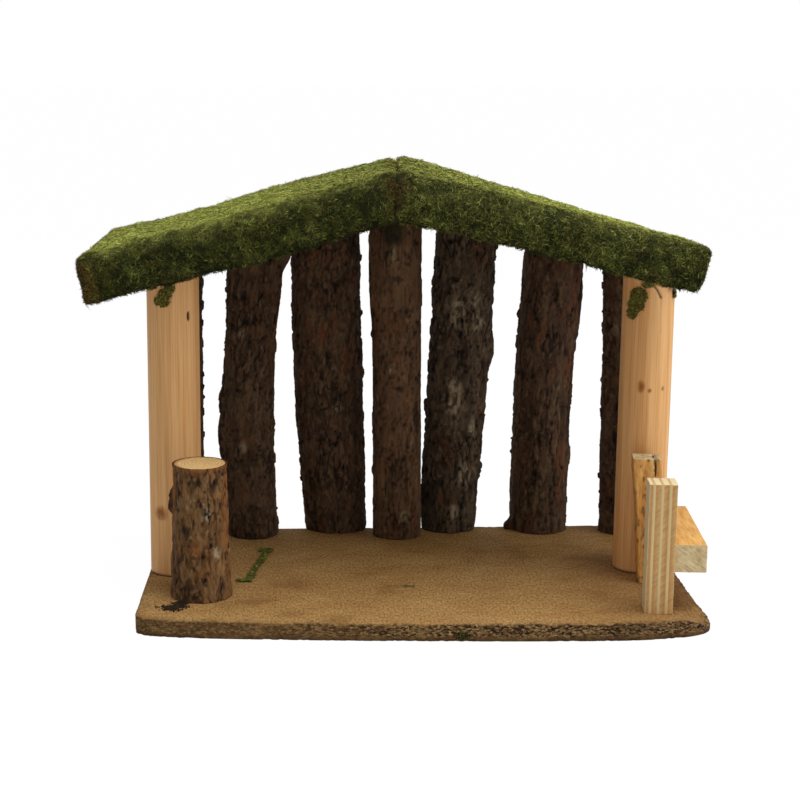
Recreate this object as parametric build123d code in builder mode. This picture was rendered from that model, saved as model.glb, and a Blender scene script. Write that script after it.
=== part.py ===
from build123d import *
import os
from math import acos, ceil, cos, pi, radians, sin, tan
from typing import NamedTuple

# Wooden nativity stable, in millimetres: a row of bark logs, two peeled posts and a mossy gable roof
# on a flat base, with a log stump and a short rail fence at the front.
# +Z is up, the open front faces -Y, and the origin is the middle of the base board's underside.


class BarkLog(NamedTuple):
    """One split log of the back row, standing with its flat side to the rear."""

    gap: float  # clear space to the log or board end on its left, at the foot
    foot_wide: float
    waist_wide: float
    head_wide: float
    thick: float  # flat back to bark
    waist_shift: float  # how far the waist stands to the right of the foot
    head_shift: float  # how far the head stands to the right of the foot


# Base board
base_width = 380.0
base_depth = 224.0
base_thick = 12.0
base_belly = 7.0  # how far the front edge swells forward of a straight cut
base_skew = 7.0  # how far the rear edge runs out of square at each end
base_corner = 8.0

# Back row, from left to right: the logs as they fill a board of this width
row_logs = (
    BarkLog(2.0, 30.0, 31.0, 31.0, 26.0, 0.5, 1.0),
    BarkLog(18.0, 40.0, 40.5, 45.0, 32.0, -1.9, 10.3),
    BarkLog(21.0, 49.0, 55.0, 51.0, 17.0, -7.0, -9.7),
    BarkLog(3.5, 38.0, 38.0, 40.0, 36.0, -1.5, -4.0),
    BarkLog(1.5, 44.0, 49.0, 47.0, 20.5, 6.4, 13.8),
    BarkLog(26.0, 46.0, 46.0, 47.5, 26.0, 2.7, 14.9),
    BarkLog(24.0, 35.0, 35.0, 36.0, 31.0, -1.5, -4.5),
)
middle_log = len(row_logs) // 2  # the log that stands under the ridge
row_end_gap = 2.0  # from the last log to the board's right end
bark_ridge = 8.0  # width of a ridge of bark between two furrows
bark_furrow = 1.3
log_spare = 30.0  # length left above the roof line before the heads are cut to the slope

# Peeled round posts
post_diameter = 36.5
left_post_inset = 0.5  # from the board's end to the post's side
right_post_inset = 6.0
left_post_setback = 112.7  # from the front edge to the post's middle
right_post_setback = 119.4

# Gable roof
ridge_height = 267.2  # from the base's top to the boards' underside at the ridge
left_pitch = 14.5
right_pitch = 14.2
roof_board_thick = 15.0
roof_front_inset = 37.0  # from the base's front edge to the boards' front edge
roof_rear_overhang = 6.0
left_overhang = 43.0  # from the left post's middle to the board's lower end
right_overhang = 9.3

# Moss mat glued over the boards, turned down over the front edge and the ends
moss_top = 10.0
moss_front = 8.0
moss_end = 8.0
moss_below = 5.5  # how far the front turn-down hangs below the boards
moss_round = 5.0

# Moss stuck to the posts and lying on the base
tuft_thick = 3.0
tuft_fit = 0.2
left_tuft_wide = 12.0
left_tuft_tall = 16.0
left_tuft_drop = 22.4  # below the boards' underside, at the post
left_tuft_offset = -4.0  # from the post's middle
right_tuft_wide = 11.0
right_tuft_tall = 22.0
right_tuft_drop = 26.3
right_tuft_offset = -11.0
tuft_tilt = 15.0
strand_long = 78.0
strand_wide = 8.0
strand_thick = 2.5
strand_turn = 78.0
strand_inset = 76.0  # from the board's left end
strand_clear = 26.8  # from its rear end to the bark of the log behind it

# Log stump
stump_foot = 42.6
stump_head = 37.6
stump_tall = 94.0
stump_inset = 40.0
stump_setback = 55.0

# Fence: a plywood upright, a rough split upright and a rail nailed to their outer sides
fence_skew = 4.3
fence_inset = 21.2  # from the board's right end to the uprights' outer side
fence_setback = 12.0
ply_wide = 18.5
ply_deep = 18.0
ply_tall = 89.6
split_foot_wide = 14.5
split_head_wide = 19.5
split_deep = 16.0
split_tall = 91.0
uprights_apart = 48.0  # clear space between the two uprights
crack_wide = 1.6
crack_deep = 12.5
crack_inset = 3.4
rail_wide = 21.7
rail_tall = 18.9
rail_long = 100.0
rail_height = 28.8  # from the base's top to the rail's underside
rail_setback = 3.0
rail_fit = 0.3

# Wire nails
nail_length = 32.0
nail_shank = 2.2
nail_head = 5.0
nail_head_thick = 1.0
nail_point = 3.0
nail_tip = 0.4
nail_fit = 0.1

# Places worked out from the sizes above
row_wide = sum(log.gap + log.foot_wide for log in row_logs)
row_stretch = (base_width - row_end_gap) / row_wide
back_logs = [BarkLog(*(row_stretch * size for size in log)) for log in row_logs]
base_left = -base_width / 2
base_right = base_width / 2
base_front = -base_depth / 2
base_rear = base_depth / 2
post_radius = post_diameter / 2
left_post = (base_left + left_post_inset + post_radius, base_front + left_post_setback)
right_post = (base_right - right_post_inset - post_radius, base_front + right_post_setback)
stump_place = (base_left + stump_inset, base_front + stump_setback)
roof_front = base_front + roof_front_inset
roof_rear = base_rear + roof_rear_overhang
ridge_z = base_thick + ridge_height
rear_turn = base_skew / base_right


def rear_edge(x):
    """Where the base board's rear edge lies, at a place along it."""
    return base_rear + rear_turn * x


def foot_middles():
    """Middles of the logs' feet along the board, from left to right."""
    middles = []
    reach = base_left
    for log in back_logs:
        middles.append(reach + log.gap + log.foot_wide / 2)
        reach += log.gap + log.foot_wide
    return middles


log_feet = foot_middles()
ridge_x = log_feet[middle_log] + back_logs[middle_log].head_shift
strand_x = base_left + strand_inset
strand_log = min(range(len(back_logs)), key=lambda number: abs(log_feet[number] - strand_x))
strand_y = rear_edge(strand_x) - back_logs[strand_log].thick - strand_clear - strand_long / 2


def slope_point(side, pitch, along, above):
    """A point (x, z) on the roof: along the slope from the ridge, and above the boards' underside."""
    x = ridge_x + side * (along * cos(radians(pitch)) + above * sin(radians(pitch)))
    z = ridge_z - along * sin(radians(pitch)) + above * cos(radians(pitch))
    return (x, z)


def ridge_point(pitch, above):
    """A point (x, z) of one slope, on the upright plane where the two slopes meet."""
    return (ridge_x, ridge_z + above / cos(radians(pitch)))


def underside(x):
    """Height of the boards' underside at a place across the roof."""
    pitch = left_pitch if x < ridge_x else right_pitch
    return ridge_z - abs(x - ridge_x) * tan(radians(pitch))


def slope_plane(side, pitch):
    """The plane of the boards' underside on one side of the ridge, facing up."""
    normal = (side * sin(radians(pitch)), 0, cos(radians(pitch)))
    return Plane(origin=(ridge_x, 0, ridge_z), x_dir=(0, 1, 0), z_dir=normal)


def disc(seat, radius):
    """A round face on the seat plane."""
    with BuildSketch(seat) as face:
        Circle(radius)
    return face.sketch


def drive_nail(seat):
    """A wire nail whose head lies on the seat plane and whose shank runs along the plane's normal."""
    point_start = nail_length - nail_point
    extrude(disc(seat, nail_head / 2), amount=nail_head_thick)
    extrude(disc(seat, nail_shank / 2), amount=point_start)
    loft([disc(seat.offset(point_start), nail_shank / 2), disc(seat.offset(nail_length), nail_tip / 2)])


def bore_for_nail(seat):
    """The hole that the same nail makes in the two pieces that it joins, with its head let in flush."""
    extrude(disc(seat, nail_head / 2 + nail_fit), amount=nail_head_thick, mode=Mode.SUBTRACT)
    extrude(disc(seat, nail_shank / 2 + nail_fit), amount=nail_length + nail_fit, mode=Mode.SUBTRACT)


def base_seat(x, y):
    """Seat of a nail driven up through the base."""
    return Plane(origin=(x, y, 0), z_dir=(0, 0, 1))


def roof_seat(x, y):
    """Seat of a nail driven square through a roof board, to come out of its underside at x, y."""
    side = -1 if x < ridge_x else 1
    pitch = left_pitch if x < ridge_x else right_pitch
    rise = roof_board_thick
    start = (x + side * rise * sin(radians(pitch)), y, underside(x) + rise * cos(radians(pitch)))
    return Plane(origin=start, z_dir=(-side * sin(radians(pitch)), 0, -cos(radians(pitch))))


def bark_outline(seat, wide, thick, ridges):
    """Section of a split log on the seat plane: a flat back, and ridges of bark round the front."""
    if thick < wide / 2:
        radius = (wide**2 / 4 + thick**2) / (2 * thick)
    else:
        radius = wide / 2
    middle = radius - thick
    half_turn = acos(middle / radius)
    step = 2 * half_turn / ridges

    def bark_point(turn, reach):
        return (reach * sin(turn), middle - reach * cos(turn))

    with BuildSketch(seat) as section:
        with BuildLine():
            start = bark_point(-half_turn, radius)
            first = start
            for ridge in range(ridges):
                turn = -half_turn + ridge * step
                crest = bark_point(turn + step / 2, radius)
                last_ridge = ridge == ridges - 1
                stop = bark_point(turn + step, radius if last_ridge else radius - bark_furrow)
                ThreePointArc(start, crest, stop)
                start = stop
            Line(start, first)
        make_face()
    return section.sketch


def log_seat(x, z):
    """Section plane of a back log, with its x axis along the base's rear edge."""
    return Plane(origin=(x, rear_edge(x), z), x_dir=(1, rear_turn, 0), z_dir=(0, 0, 1))


def log_sections(log, foot_x):
    """The foot, waist and head sections that a back log is lofted through."""
    head_z = ridge_z + log_spare
    waist_z = (base_thick + head_z) / 2
    half_girth = pi / 2 * (log.waist_wide + log.thick) / 2
    ridges = ceil(half_girth / bark_ridge)
    return [
        bark_outline(log_seat(foot_x, base_thick), log.foot_wide, log.thick, ridges),
        bark_outline(log_seat(foot_x + log.waist_shift, waist_z), log.waist_wide, log.thick, ridges),
        bark_outline(log_seat(foot_x + log.head_shift, head_z), log.head_wide, log.thick, ridges),
    ]


def log_base_seat(log, foot_x):
    """Seat of the nail that holds a back log's foot."""
    return base_seat(foot_x, rear_edge(foot_x) - log.thick / 2)


def log_roof_seats(log, foot_x):
    """Seats of the nails in a back log's head: one, or one on each slope under the ridge."""
    head_x = foot_x + log.head_shift
    y = rear_edge(head_x) - log.thick / 2
    if foot_x == log_feet[middle_log]:
        return [roof_seat(head_x - log.head_wide / 4, y), roof_seat(head_x + log.head_wide / 4, y)]
    return [roof_seat(head_x, y)]


fence_floor = Plane(
    origin=(base_right - fence_inset, base_front + fence_setback, base_thick),
    x_dir=(cos(radians(fence_skew)), -sin(radians(fence_skew)), 0),
    z_dir=(0, 0, 1),
)
split_setback = ply_deep + uprights_apart


def fence_base_seat(across, back):
    """Seat of the nail under an upright, at a place on the fence's own floor plane."""
    place = fence_floor.from_local_coords(Vector(across, back, 0))
    return base_seat(place.X, place.Y)


def rail_seat(back):
    """Seat of a nail driven through the rail's outer side into an upright."""
    start = fence_floor.from_local_coords(Vector(rail_wide, back, rail_height + rail_tall / 2))
    return Plane(origin=start, z_dir=-fence_floor.x_dir)


left_slope = slope_plane(-1, left_pitch)
right_slope = slope_plane(1, right_pitch)
base_seats = [log_base_seat(log, x) for log, x in zip(back_logs, log_feet)]
base_seats += [base_seat(*left_post), base_seat(*right_post), base_seat(*stump_place)]
ply_seat = fence_base_seat(-ply_wide / 2, ply_deep / 2)
split_seat = fence_base_seat(-split_foot_wide / 2, split_setback + split_deep / 2)
base_seats += [ply_seat, split_seat]
roof_seats = [seat for log, x in zip(back_logs, log_feet) for seat in log_roof_seats(log, x)]
roof_seats += [roof_seat(*left_post), roof_seat(*right_post)]
rail_seats = [rail_seat(ply_deep / 2), rail_seat(split_setback + split_deep / 2)]

os.makedirs("parts", exist_ok=True)

# Base board with a swelling front edge, rounded front corners and a rear edge out of square
with BuildPart() as base_board:
    with BuildSketch() as outline:
        with BuildLine():
            belly = ThreePointArc(
                (base_left, base_front), (0, base_front - base_belly), (base_right, base_front)
            )
            Polyline(
                belly @ 1,
                (base_right, rear_edge(base_right)),
                (base_left, rear_edge(base_left)),
                belly @ 0,
            )
        make_face()
        fillet(outline.vertices().group_by(Axis.Y)[0], base_corner)
    extrude(amount=base_thick)
    for seat in base_seats:
        bore_for_nail(seat)
base_board.part.label = "base_board"
export_step(base_board.part, "parts/base_board.step")

# Back logs, lofted past the roof line and cut to the slope above them
for number, (log, foot_x) in enumerate(zip(back_logs, log_feet), start=1):
    with BuildPart() as back_log:
        loft(log_sections(log, foot_x))
        split(bisect_by=left_slope, keep=Keep.BOTTOM)
        split(bisect_by=right_slope, keep=Keep.BOTTOM)
        bore_for_nail(log_base_seat(log, foot_x))
        for seat in log_roof_seats(log, foot_x):
            bore_for_nail(seat)
    back_log.part.label = f"back_log_{number}"
    export_step(back_log.part, f"parts/back_log_{number}.step")

# Peeled posts, their tops cut to the slope that they carry
for name, place, slope in (("left", left_post, left_slope), ("right", right_post, right_slope)):
    with BuildPart() as post:
        with BuildSketch(Plane.XY.offset(base_thick)):
            with Locations(place):
                Circle(post_radius)
        extrude(amount=ridge_height)
        split(bisect_by=slope, keep=Keep.BOTTOM)
        bore_for_nail(base_seat(*place))
        bore_for_nail(roof_seat(*place))
    post.part.label = f"post_{name}"
    export_step(post.part, f"parts/post_{name}.step")

# Roof boards, mitred together on the upright plane at the ridge, and their moss mats
for name, side, pitch, post_x, overhang in (
    ("left", -1, left_pitch, left_post[0], left_overhang),
    ("right", 1, right_pitch, right_post[0], right_overhang),
):
    run = (abs(post_x - ridge_x) + overhang) / cos(radians(pitch))
    mat_run = run + moss_end
    mat_top = roof_board_thick + moss_top
    rear_plane = Plane.XZ.offset(-roof_rear)
    front_plane = Plane.XZ.offset(-roof_front)

    with BuildPart() as roof_board:
        with BuildSketch(rear_plane):
            with BuildLine():
                Polyline(
                    ridge_point(pitch, 0),
                    slope_point(side, pitch, run, 0),
                    slope_point(side, pitch, run, roof_board_thick),
                    ridge_point(pitch, roof_board_thick),
                    close=True,
                )
            make_face()
        extrude(amount=roof_rear - roof_front)
        for seat in roof_seats:
            if (seat.origin.X - ridge_x) * side > 0:
                bore_for_nail(seat)
    roof_board.part.label = f"roof_board_{name}"
    export_step(roof_board.part, f"parts/roof_board_{name}.step")

    with BuildPart() as roof_moss:
        with BuildSketch(rear_plane):
            with BuildLine():
                Polyline(
                    ridge_point(pitch, roof_board_thick),
                    slope_point(side, pitch, run, roof_board_thick),
                    slope_point(side, pitch, run, 0),
                    slope_point(side, pitch, mat_run, 0),
                    slope_point(side, pitch, mat_run, mat_top),
                    ridge_point(pitch, mat_top),
                    close=True,
                )
            make_face()
        extrude(amount=roof_rear - roof_front)
        with BuildSketch(front_plane):
            with BuildLine():
                Polyline(
                    ridge_point(pitch, -moss_below),
                    slope_point(side, pitch, mat_run, -moss_below),
                    slope_point(side, pitch, mat_run, mat_top),
                    ridge_point(pitch, mat_top),
                    close=True,
                )
            make_face()
        extrude(amount=moss_front)
        front_rim = roof_moss.faces().sort_by(Axis.Y)[0].edges()
        crown = roof_moss.faces().filter_by(lambda face: face.normal_at().Z > 0.9).sort_by(SortBy.AREA)[-1]
        crown_rim = crown.edges().group_by(Axis.Y)[:-1]
        soft_edges = ShapeList(set(front_rim) | {edge for group in crown_rim for edge in group})
        fillet(soft_edges, min(moss_round, 0.7 * moss_top, 0.7 * moss_front))
    roof_moss.part.label = f"roof_moss_{name}"
    export_step(roof_moss.part, f"parts/roof_moss_{name}.step")

# Log stump: a whole round log with its bark on, tapering to a square cut top
stump_ridges = round(pi * stump_foot / bark_ridge)


def stump_outline(height, diameter):
    """Round section of the stump at a height above the base, with ridges of bark all round."""
    reach = diameter / 2
    step = 2 * pi / stump_ridges

    def bark_point(turn, radius):
        return (radius * cos(turn), radius * sin(turn))

    with BuildSketch(Plane(origin=(*stump_place, base_thick + height))) as section:
        with BuildLine():
            for ridge in range(stump_ridges):
                turn = ridge * step
                ThreePointArc(
                    bark_point(turn, reach - bark_furrow),
                    bark_point(turn + step / 2, reach),
                    bark_point(turn + step, reach - bark_furrow),
                )
        make_face()
    return section.sketch


with BuildPart() as stump_log:
    loft([stump_outline(0, stump_foot), stump_outline(stump_tall, stump_head)])
    bore_for_nail(base_seat(*stump_place))
stump_log.part.label = "stump_log"
export_step(stump_log.part, "parts/stump_log.step")

# Plywood upright of the fence
with BuildPart() as fence_upright_ply:
    with BuildSketch(fence_floor):
        with Locations((-ply_wide / 2, ply_deep / 2)):
            Rectangle(ply_wide, ply_deep)
    extrude(amount=ply_tall)
    bore_for_nail(ply_seat)
    bore_for_nail(rail_seats[0])
fence_upright_ply.part.label = "fence_upright_ply"
export_step(fence_upright_ply.part, "parts/fence_upright_ply.step")

# Rough split upright: wider at its head, with a drying crack down from the top
with BuildPart() as fence_upright_split:
    with BuildSketch(fence_floor):
        with Locations((-split_foot_wide / 2, split_setback + split_deep / 2)):
            Rectangle(split_foot_wide, split_deep)
    with BuildSketch(fence_floor.offset(split_tall)):
        with Locations((-split_head_wide / 2, split_setback + split_deep / 2)):
            Rectangle(split_head_wide, split_deep)
    loft()
    with BuildSketch(fence_floor.offset(split_tall)):
        with Locations((-crack_inset - crack_wide / 2, split_setback + split_deep / 2)):
            Rectangle(crack_wide, split_deep)
    extrude(amount=-crack_deep, mode=Mode.SUBTRACT)
    bore_for_nail(split_seat)
    bore_for_nail(rail_seats[1])
fence_upright_split.part.label = "fence_upright_split"
export_step(fence_upright_split.part, "parts/fence_upright_split.step")

# Rail along the uprights' outer sides, its far end scribed round the right post
with BuildPart() as fence_rail:
    with BuildSketch(fence_floor.offset(rail_height)):
        with Locations((rail_wide / 2, rail_setback + rail_long / 2)):
            Rectangle(rail_wide, rail_long)
    extrude(amount=rail_tall)
    with BuildSketch(Plane.XY.offset(base_thick)):
        with Locations(right_post):
            Circle(post_radius + rail_fit)
    extrude(amount=ridge_height, mode=Mode.SUBTRACT)
    for seat in rail_seats:
        bore_for_nail(seat)
fence_rail.part.label = "fence_rail"
export_step(fence_rail.part, "parts/fence_rail.step")

# Tufts of moss stuck to the posts under the roof, hugging their round sides
for name, place, wide, tall, drop, offset_x in (
    ("left", left_post, left_tuft_wide, left_tuft_tall, left_tuft_drop, left_tuft_offset),
    ("right", right_post, right_tuft_wide, right_tuft_tall, right_tuft_drop, right_tuft_offset),
):
    with BuildPart() as moss_tuft:
        with BuildSketch(Plane.XZ.offset(-place[1])):
            with Locations((place[0] + offset_x, underside(place[0]) - drop)):
                Ellipse(wide / 2, tall / 2, rotation=-tuft_tilt)
        extrude(amount=post_diameter)
        with BuildSketch(Plane.XY.offset(base_thick)):
            with Locations(place):
                Circle(post_radius + tuft_thick)
                Circle(post_radius + tuft_fit, mode=Mode.SUBTRACT)
        extrude(amount=ridge_height, mode=Mode.INTERSECT)
    moss_tuft.part.label = f"moss_tuft_{name}"
    export_step(moss_tuft.part, f"parts/moss_tuft_{name}.step")

# Strand of moss lying on the base
with BuildPart() as moss_strand:
    with BuildSketch(Plane.XY.offset(base_thick)):
        with Locations((strand_x, strand_y)):
            SlotOverall(strand_long, strand_wide, rotation=strand_turn)
    extrude(amount=strand_thick)
moss_strand.part.label = "moss_strand"
export_step(moss_strand.part, "parts/moss_strand.step")

# Nails: up through the base, down through the roof boards, and through the rail
for name, seats in (("base", base_seats), ("roof", roof_seats), ("rail", rail_seats)):
    with BuildPart() as nails:
        for seat in seats:
            drive_nail(seat)
    nails.part.label = f"{name}_nails"
    export_step(nails.part, f"parts/{name}_nails.step")
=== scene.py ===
"""Wooden nativity stable, dressed: bark logs, peeled posts, a mossy gable roof, a stump and a rail fence."""

import logging
from dataclasses import dataclass, field
from enum import Enum
from functools import cache
from itertools import product
from math import atan, cos, pi, radians, sin, tan
from typing import Sequence

import bpy
import numpy as np
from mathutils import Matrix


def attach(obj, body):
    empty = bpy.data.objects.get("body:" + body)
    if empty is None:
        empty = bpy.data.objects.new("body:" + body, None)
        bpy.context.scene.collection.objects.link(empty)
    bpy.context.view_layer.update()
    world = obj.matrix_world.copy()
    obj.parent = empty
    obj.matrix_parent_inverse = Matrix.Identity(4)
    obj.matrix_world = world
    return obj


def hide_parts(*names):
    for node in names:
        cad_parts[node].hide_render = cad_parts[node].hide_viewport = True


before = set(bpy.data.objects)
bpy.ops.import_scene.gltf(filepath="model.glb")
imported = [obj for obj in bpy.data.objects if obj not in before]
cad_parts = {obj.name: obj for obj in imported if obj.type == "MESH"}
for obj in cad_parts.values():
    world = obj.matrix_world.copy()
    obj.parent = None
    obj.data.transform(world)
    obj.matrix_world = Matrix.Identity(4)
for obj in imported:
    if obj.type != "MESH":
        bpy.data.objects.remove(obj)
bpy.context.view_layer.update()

Array = np.ndarray
Inputs = dict[str, object]  # values and sockets for the inputs of a node
Object = bpy.types.Object
Socket = bpy.types.NodeSocket
Tree = bpy.types.NodeTree
Place = tuple[float, float]
Point = tuple[float, float, float]
Skin = tuple[Array, list[Array], dict[str, Array]]  # points, faces and the numbers kept on the points
Spot = tuple[Array, Array | float, Array]  # on a log: radians to the right of the front, its radius there, and height

MM = 0.001  # pieces are drawn in millimetres and kept in metres
log = logging.getLogger("stable")


def linear(colour: str) -> tuple[float, ...]:
    """Turns an sRGB hex colour into linear light.

    Args:
        colour: Hex colour, such as "#a08060".

    Returns:
        Linear red, green, blue and an alpha of 1.
    """
    parts = [int(colour[start : start + 2], 16) / 255 for start in (1, 3, 5)]
    light = [((part + 0.055) / 1.055) ** 2.4 if part > 0.04045 else part / 12.92 for part in parts]
    return (*light, 1.0)


def add_node(tree: Tree, kind: str, inputs: dict, give: int | str = 0, **settings: object) -> Socket | None:
    """Adds one node with its settings, values and links.

    Args:
        tree: Node tree to add to.
        kind: Blender's type name of the node.
        inputs: Socket name or number, with the socket to link to it or the value to set on it.
        give: Output socket to return, by name or number.
        settings: Properties to set on the node itself.

    Returns:
        The chosen output socket, or None where the node has none.
    """
    node = tree.nodes.new(kind)
    for name, value in settings.items():
        setattr(node, name, value)
    for name, value in inputs.items():
        if isinstance(value, Socket):
            tree.links.new(value, node.inputs[name])
        else:
            node.inputs[name].default_value = value
    return node.outputs[give] if len(node.outputs) else None


def chance(cells: Array, seed: int) -> Array:
    """Repeatable random numbers for whole-number cells.

    Args:
        cells: Cell numbers, with three to a cell in the last axis.
        seed: Picks one pattern out of many.

    Returns:
        One number from 0 to 1 for each cell.
    """
    whole = cells.astype(np.int64)
    mixed = (whole[..., 0] * 73856093) ^ (whole[..., 1] * 19349663) ^ (whole[..., 2] * 83492791)
    mixed = mixed ^ (seed * 26544357)
    mixed = (mixed ^ (mixed >> 13)) * 1274126177
    mixed = mixed ^ (mixed >> 16)
    return (mixed & 0xFFFFFF) / float(0x1000000)


def lumps(places: Array, size: float | Sequence[float], seed: int, octaves: int = 1) -> Array:
    """Smooth noise with lumps of a real size.

    Args:
        places: Points in millimetres, with three numbers in the last axis.
        size: Size of a lump in millimetres, one number or one for each axis.
        seed: Picks one pattern out of many.
        octaves: How many times finer and weaker lumps are added.

    Returns:
        One number from -1 to 1 for each point.
    """
    scaled = places / np.asarray(size, dtype=float)
    total = np.zeros(places.shape[:-1])
    weights = 0.0
    for octave in range(octaves):
        spot = scaled * 2**octave
        low = np.floor(spot)
        part = spot - low
        part = part * part * (3 - 2 * part)
        value = np.zeros(total.shape)
        for corner in product((0, 1), repeat=3):
            share = np.prod(np.where(corner, part, 1 - part), axis=-1)
            value += share * chance(low + corner, seed + 101 * octave)
        total += 0.5**octave * (2 * value - 1)
        weights += 0.5**octave
    return total / weights


def rise(values: Array, low: float, high: float) -> Array:
    """Smooth step from 0 at low to 1 at high."""
    share = np.clip((values - low) / (high - low), 0, 1)
    return share * share * (3 - 2 * share)


def bend(knots: Sequence[Sequence[float]], count: int) -> Array:
    """Draws a smooth line through points.

    Args:
        knots: Points that the line runs through.
        count: How many points to draw.

    Returns:
        Points along the line, from the first knot to the last.
    """
    given = np.array(knots, dtype=float)
    run = np.concatenate([2 * given[:1] - given[1:2], given, 2 * given[-1:] - given[-2:-1]])
    share = np.linspace(0, len(given) - 1, count)
    start = np.minimum(share.astype(int), len(given) - 2)
    part = (share - start)[:, None]
    before, here, there, after = (run[start + step] for step in range(4))
    bow = 2 * before - 5 * here + 4 * there - after
    twist = 3 * (here - there) + after - before
    return 0.5 * (2 * here + (there - before) * part + bow * part**2 + twist * part**3)


def unit(vectors: Array) -> Array:
    """Vectors scaled to a length of 1."""
    return vectors / (np.linalg.norm(vectors, axis=-1, keepdims=True) + 1e-9)


def plates(across: Array, along: Array, wide: float, long: float, seed: int, turns: int = 0) -> tuple[Array, Array]:
    """Breaks a bark surface into irregular plates.

    Args:
        across: Place round the girth, in millimetres.
        along: Place along the log, in millimetres.
        wide: Usual width of a plate.
        long: Usual length of a plate.
        seed: Picks one pattern out of many.
        turns: Plates round a closed girth, or 0 on an open one.

    Returns:
        How far each point lies from its plate's edge, and a number from 0 to 1 for its plate.
    """
    side, up = across / wide, along / long
    cell_side, cell_up = np.floor(side), np.floor(up)
    near = next_near = np.full(side.shape, 9.0)
    own = np.zeros(side.shape)
    for step_side, step_up in product((-1, 0, 1), repeat=2):
        column, row = cell_side + step_side, cell_up + step_up
        kept = np.mod(column, turns) if turns else column
        cell = np.stack([kept, row, np.zeros(row.shape)], axis=-1)
        reach = np.hypot(column + chance(cell, seed) - side, row + chance(cell, seed + 1) - up)
        closer = reach < near
        next_near = np.where(closer, near, np.minimum(next_near, reach))
        own = np.where(closer, chance(cell, seed + 2), own)
        near = np.minimum(near, reach)
    return next_near - near, own


class Tint(Enum):
    """Patches of another colour that bark carries."""

    RUST = "rust"
    PALE = "pale"
    GREEN = "green"


@dataclass(frozen=True)
class Coat:
    """A colour that lies over those below it, as far as a pattern says."""

    over: str | Socket  # hex colour, or what other coats have made
    where: str | Socket  # name of a number kept on the points, or a pattern
    start: float = 0.0  # value of the pattern where the coat begins to show
    full: float = 1.0  # value where it shows most
    most: float = 1.0  # how much it hides there


@dataclass(frozen=True)
class Finish:
    """What every finish has: a name, a roughness and a refractive index, with colour and relief from its nodes."""

    name: str
    roughness: float
    ior: float

    def paint(self, tree: Tree) -> Inputs:
        """Adds the finish's pattern nodes, and gives the main shader's inputs."""
        raise NotImplementedError

    def spread(self, tree: Tree, size: Sequence[float], slant: float = 0.0) -> Socket:
        """Measures places on the piece in features of a pattern.

        Args:
            tree: The material's node tree.
            size: Size of one feature along x, y and z, in millimetres.
            slant: Lean of the features to the right, in degrees.

        Returns:
            The place, which grows by 1 over each feature.
        """
        place = add_node(tree, "ShaderNodeTexCoord", {}, give="Object")
        sizes = tuple(length * MM for length in size)
        layout = {"Vector": place, "Rotation": (0, radians(slant), 0), "Scale": sizes}
        return add_node(tree, "ShaderNodeMapping", layout, vector_type="TEXTURE")

    def grain(
        self, tree: Tree, size: Sequence[float], detail: float, rough: float = 0.5, slant: float = 0.0
    ) -> Socket:
        """Lays out a cloudy or streaky pattern at its real size.

        Args:
            tree: The material's node tree.
            size: Size of one cloud or streak along x, y and z, in millimetres.
            detail: How many times finer ones are added.
            rough: How strong the finer ones are.
            slant: Lean of the streaks to the right, in degrees.

        Returns:
            The pattern, from 0 to 1.
        """
        pattern = {"Vector": self.spread(tree, size, slant), "Scale": 1.0, "Detail": detail, "Roughness": rough}
        return add_node(tree, "ShaderNodeTexNoise", pattern)

    def coated(self, tree: Tree, ground: str | Socket, *coats: Coat) -> Socket:
        """Lays coats of colour over a ground.

        Args:
            tree: The material's node tree.
            ground: Hex colour, or what other coats have made.
            coats: The coats, from the lowest to the uppermost.

        Returns:
            The colour that shows.
        """
        colour = linear(ground) if isinstance(ground, str) else ground
        for coat in coats:
            share, over = coat.where, coat.over
            if isinstance(share, str):
                share = add_node(tree, "ShaderNodeAttribute", {}, give="Fac", attribute_name=share)
            if (coat.start, coat.full, coat.most) != (0.0, 1.0, 1.0):
                limits = {"Value": share, "From Min": coat.start, "From Max": coat.full, "To Max": coat.most}
                share = add_node(tree, "ShaderNodeMapRange", limits)
            layers = {0: share, 6: colour, 7: linear(over) if isinstance(over, str) else over}
            colour = add_node(tree, "ShaderNodeMix", layers, give=2, data_type="RGBA")
        return colour

    @cache
    def material(self) -> bpy.types.Material:
        """Makes the finish's material, once.

        Returns:
            The material, with its nodes linked.
        """
        made = bpy.data.materials.new(self.name)
        made.use_nodes = True
        tree = made.node_tree
        tree.nodes.clear()
        inputs = {"Roughness": self.roughness, "IOR": self.ior} | self.paint(tree)
        shader = add_node(tree, "ShaderNodeBsdfPrincipled", inputs)
        add_node(tree, "ShaderNodeOutputMaterial", {"Surface": shader})
        return made


@dataclass(frozen=True)
class Timber(Finish):
    """Bare softwood: pale fibres in long streaks, broad bands of growth rings, and darker knots."""

    pale: str
    warm: str
    dark: str
    knot: str
    pit_and_painted_shadow: str
    fibre: Point  # size of one fibre streak, in millimetres
    band: Point  # size of one growth band
    streak: float  # how strongly the dark fibres show
    relief: float  # height of the fibres, in millimetres
    slant: float = 0.0  # lean of the fibres to the right, in degrees

    def paint(self, tree: Tree) -> Inputs:
        """Adds fibre streaks, growth bands, knots, open pits and painted shadow.

        Args:
            tree: The material's node tree.

        Returns:
            Colour, normal and gloss for the main shader.
        """
        fibres = self.grain(tree, self.fibre, detail=4, slant=self.slant)
        bands = self.grain(tree, self.band, detail=3)
        colour = self.coated(
            tree,
            self.pale,
            Coat(self.warm, bands, 0.36, 0.64),
            Coat(self.dark, fibres, 0.46, 0.72, self.streak),
            Coat(self.knot, "knot"),
            # dark pits and cracks, and painted shadow at the posts' feet and under the moss hem
            Coat(self.pit_and_painted_shadow, "pit_and_painted_shadow"),
        )
        relief = {"Height": fibres, "Strength": 0.6, "Distance": self.relief * MM}
        # open fibres swallow half of the shine that a closed face has
        return {"Base Color": colour, "Normal": add_node(tree, "ShaderNodeBump", relief), "Specular IOR Level": 0.25}


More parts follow.
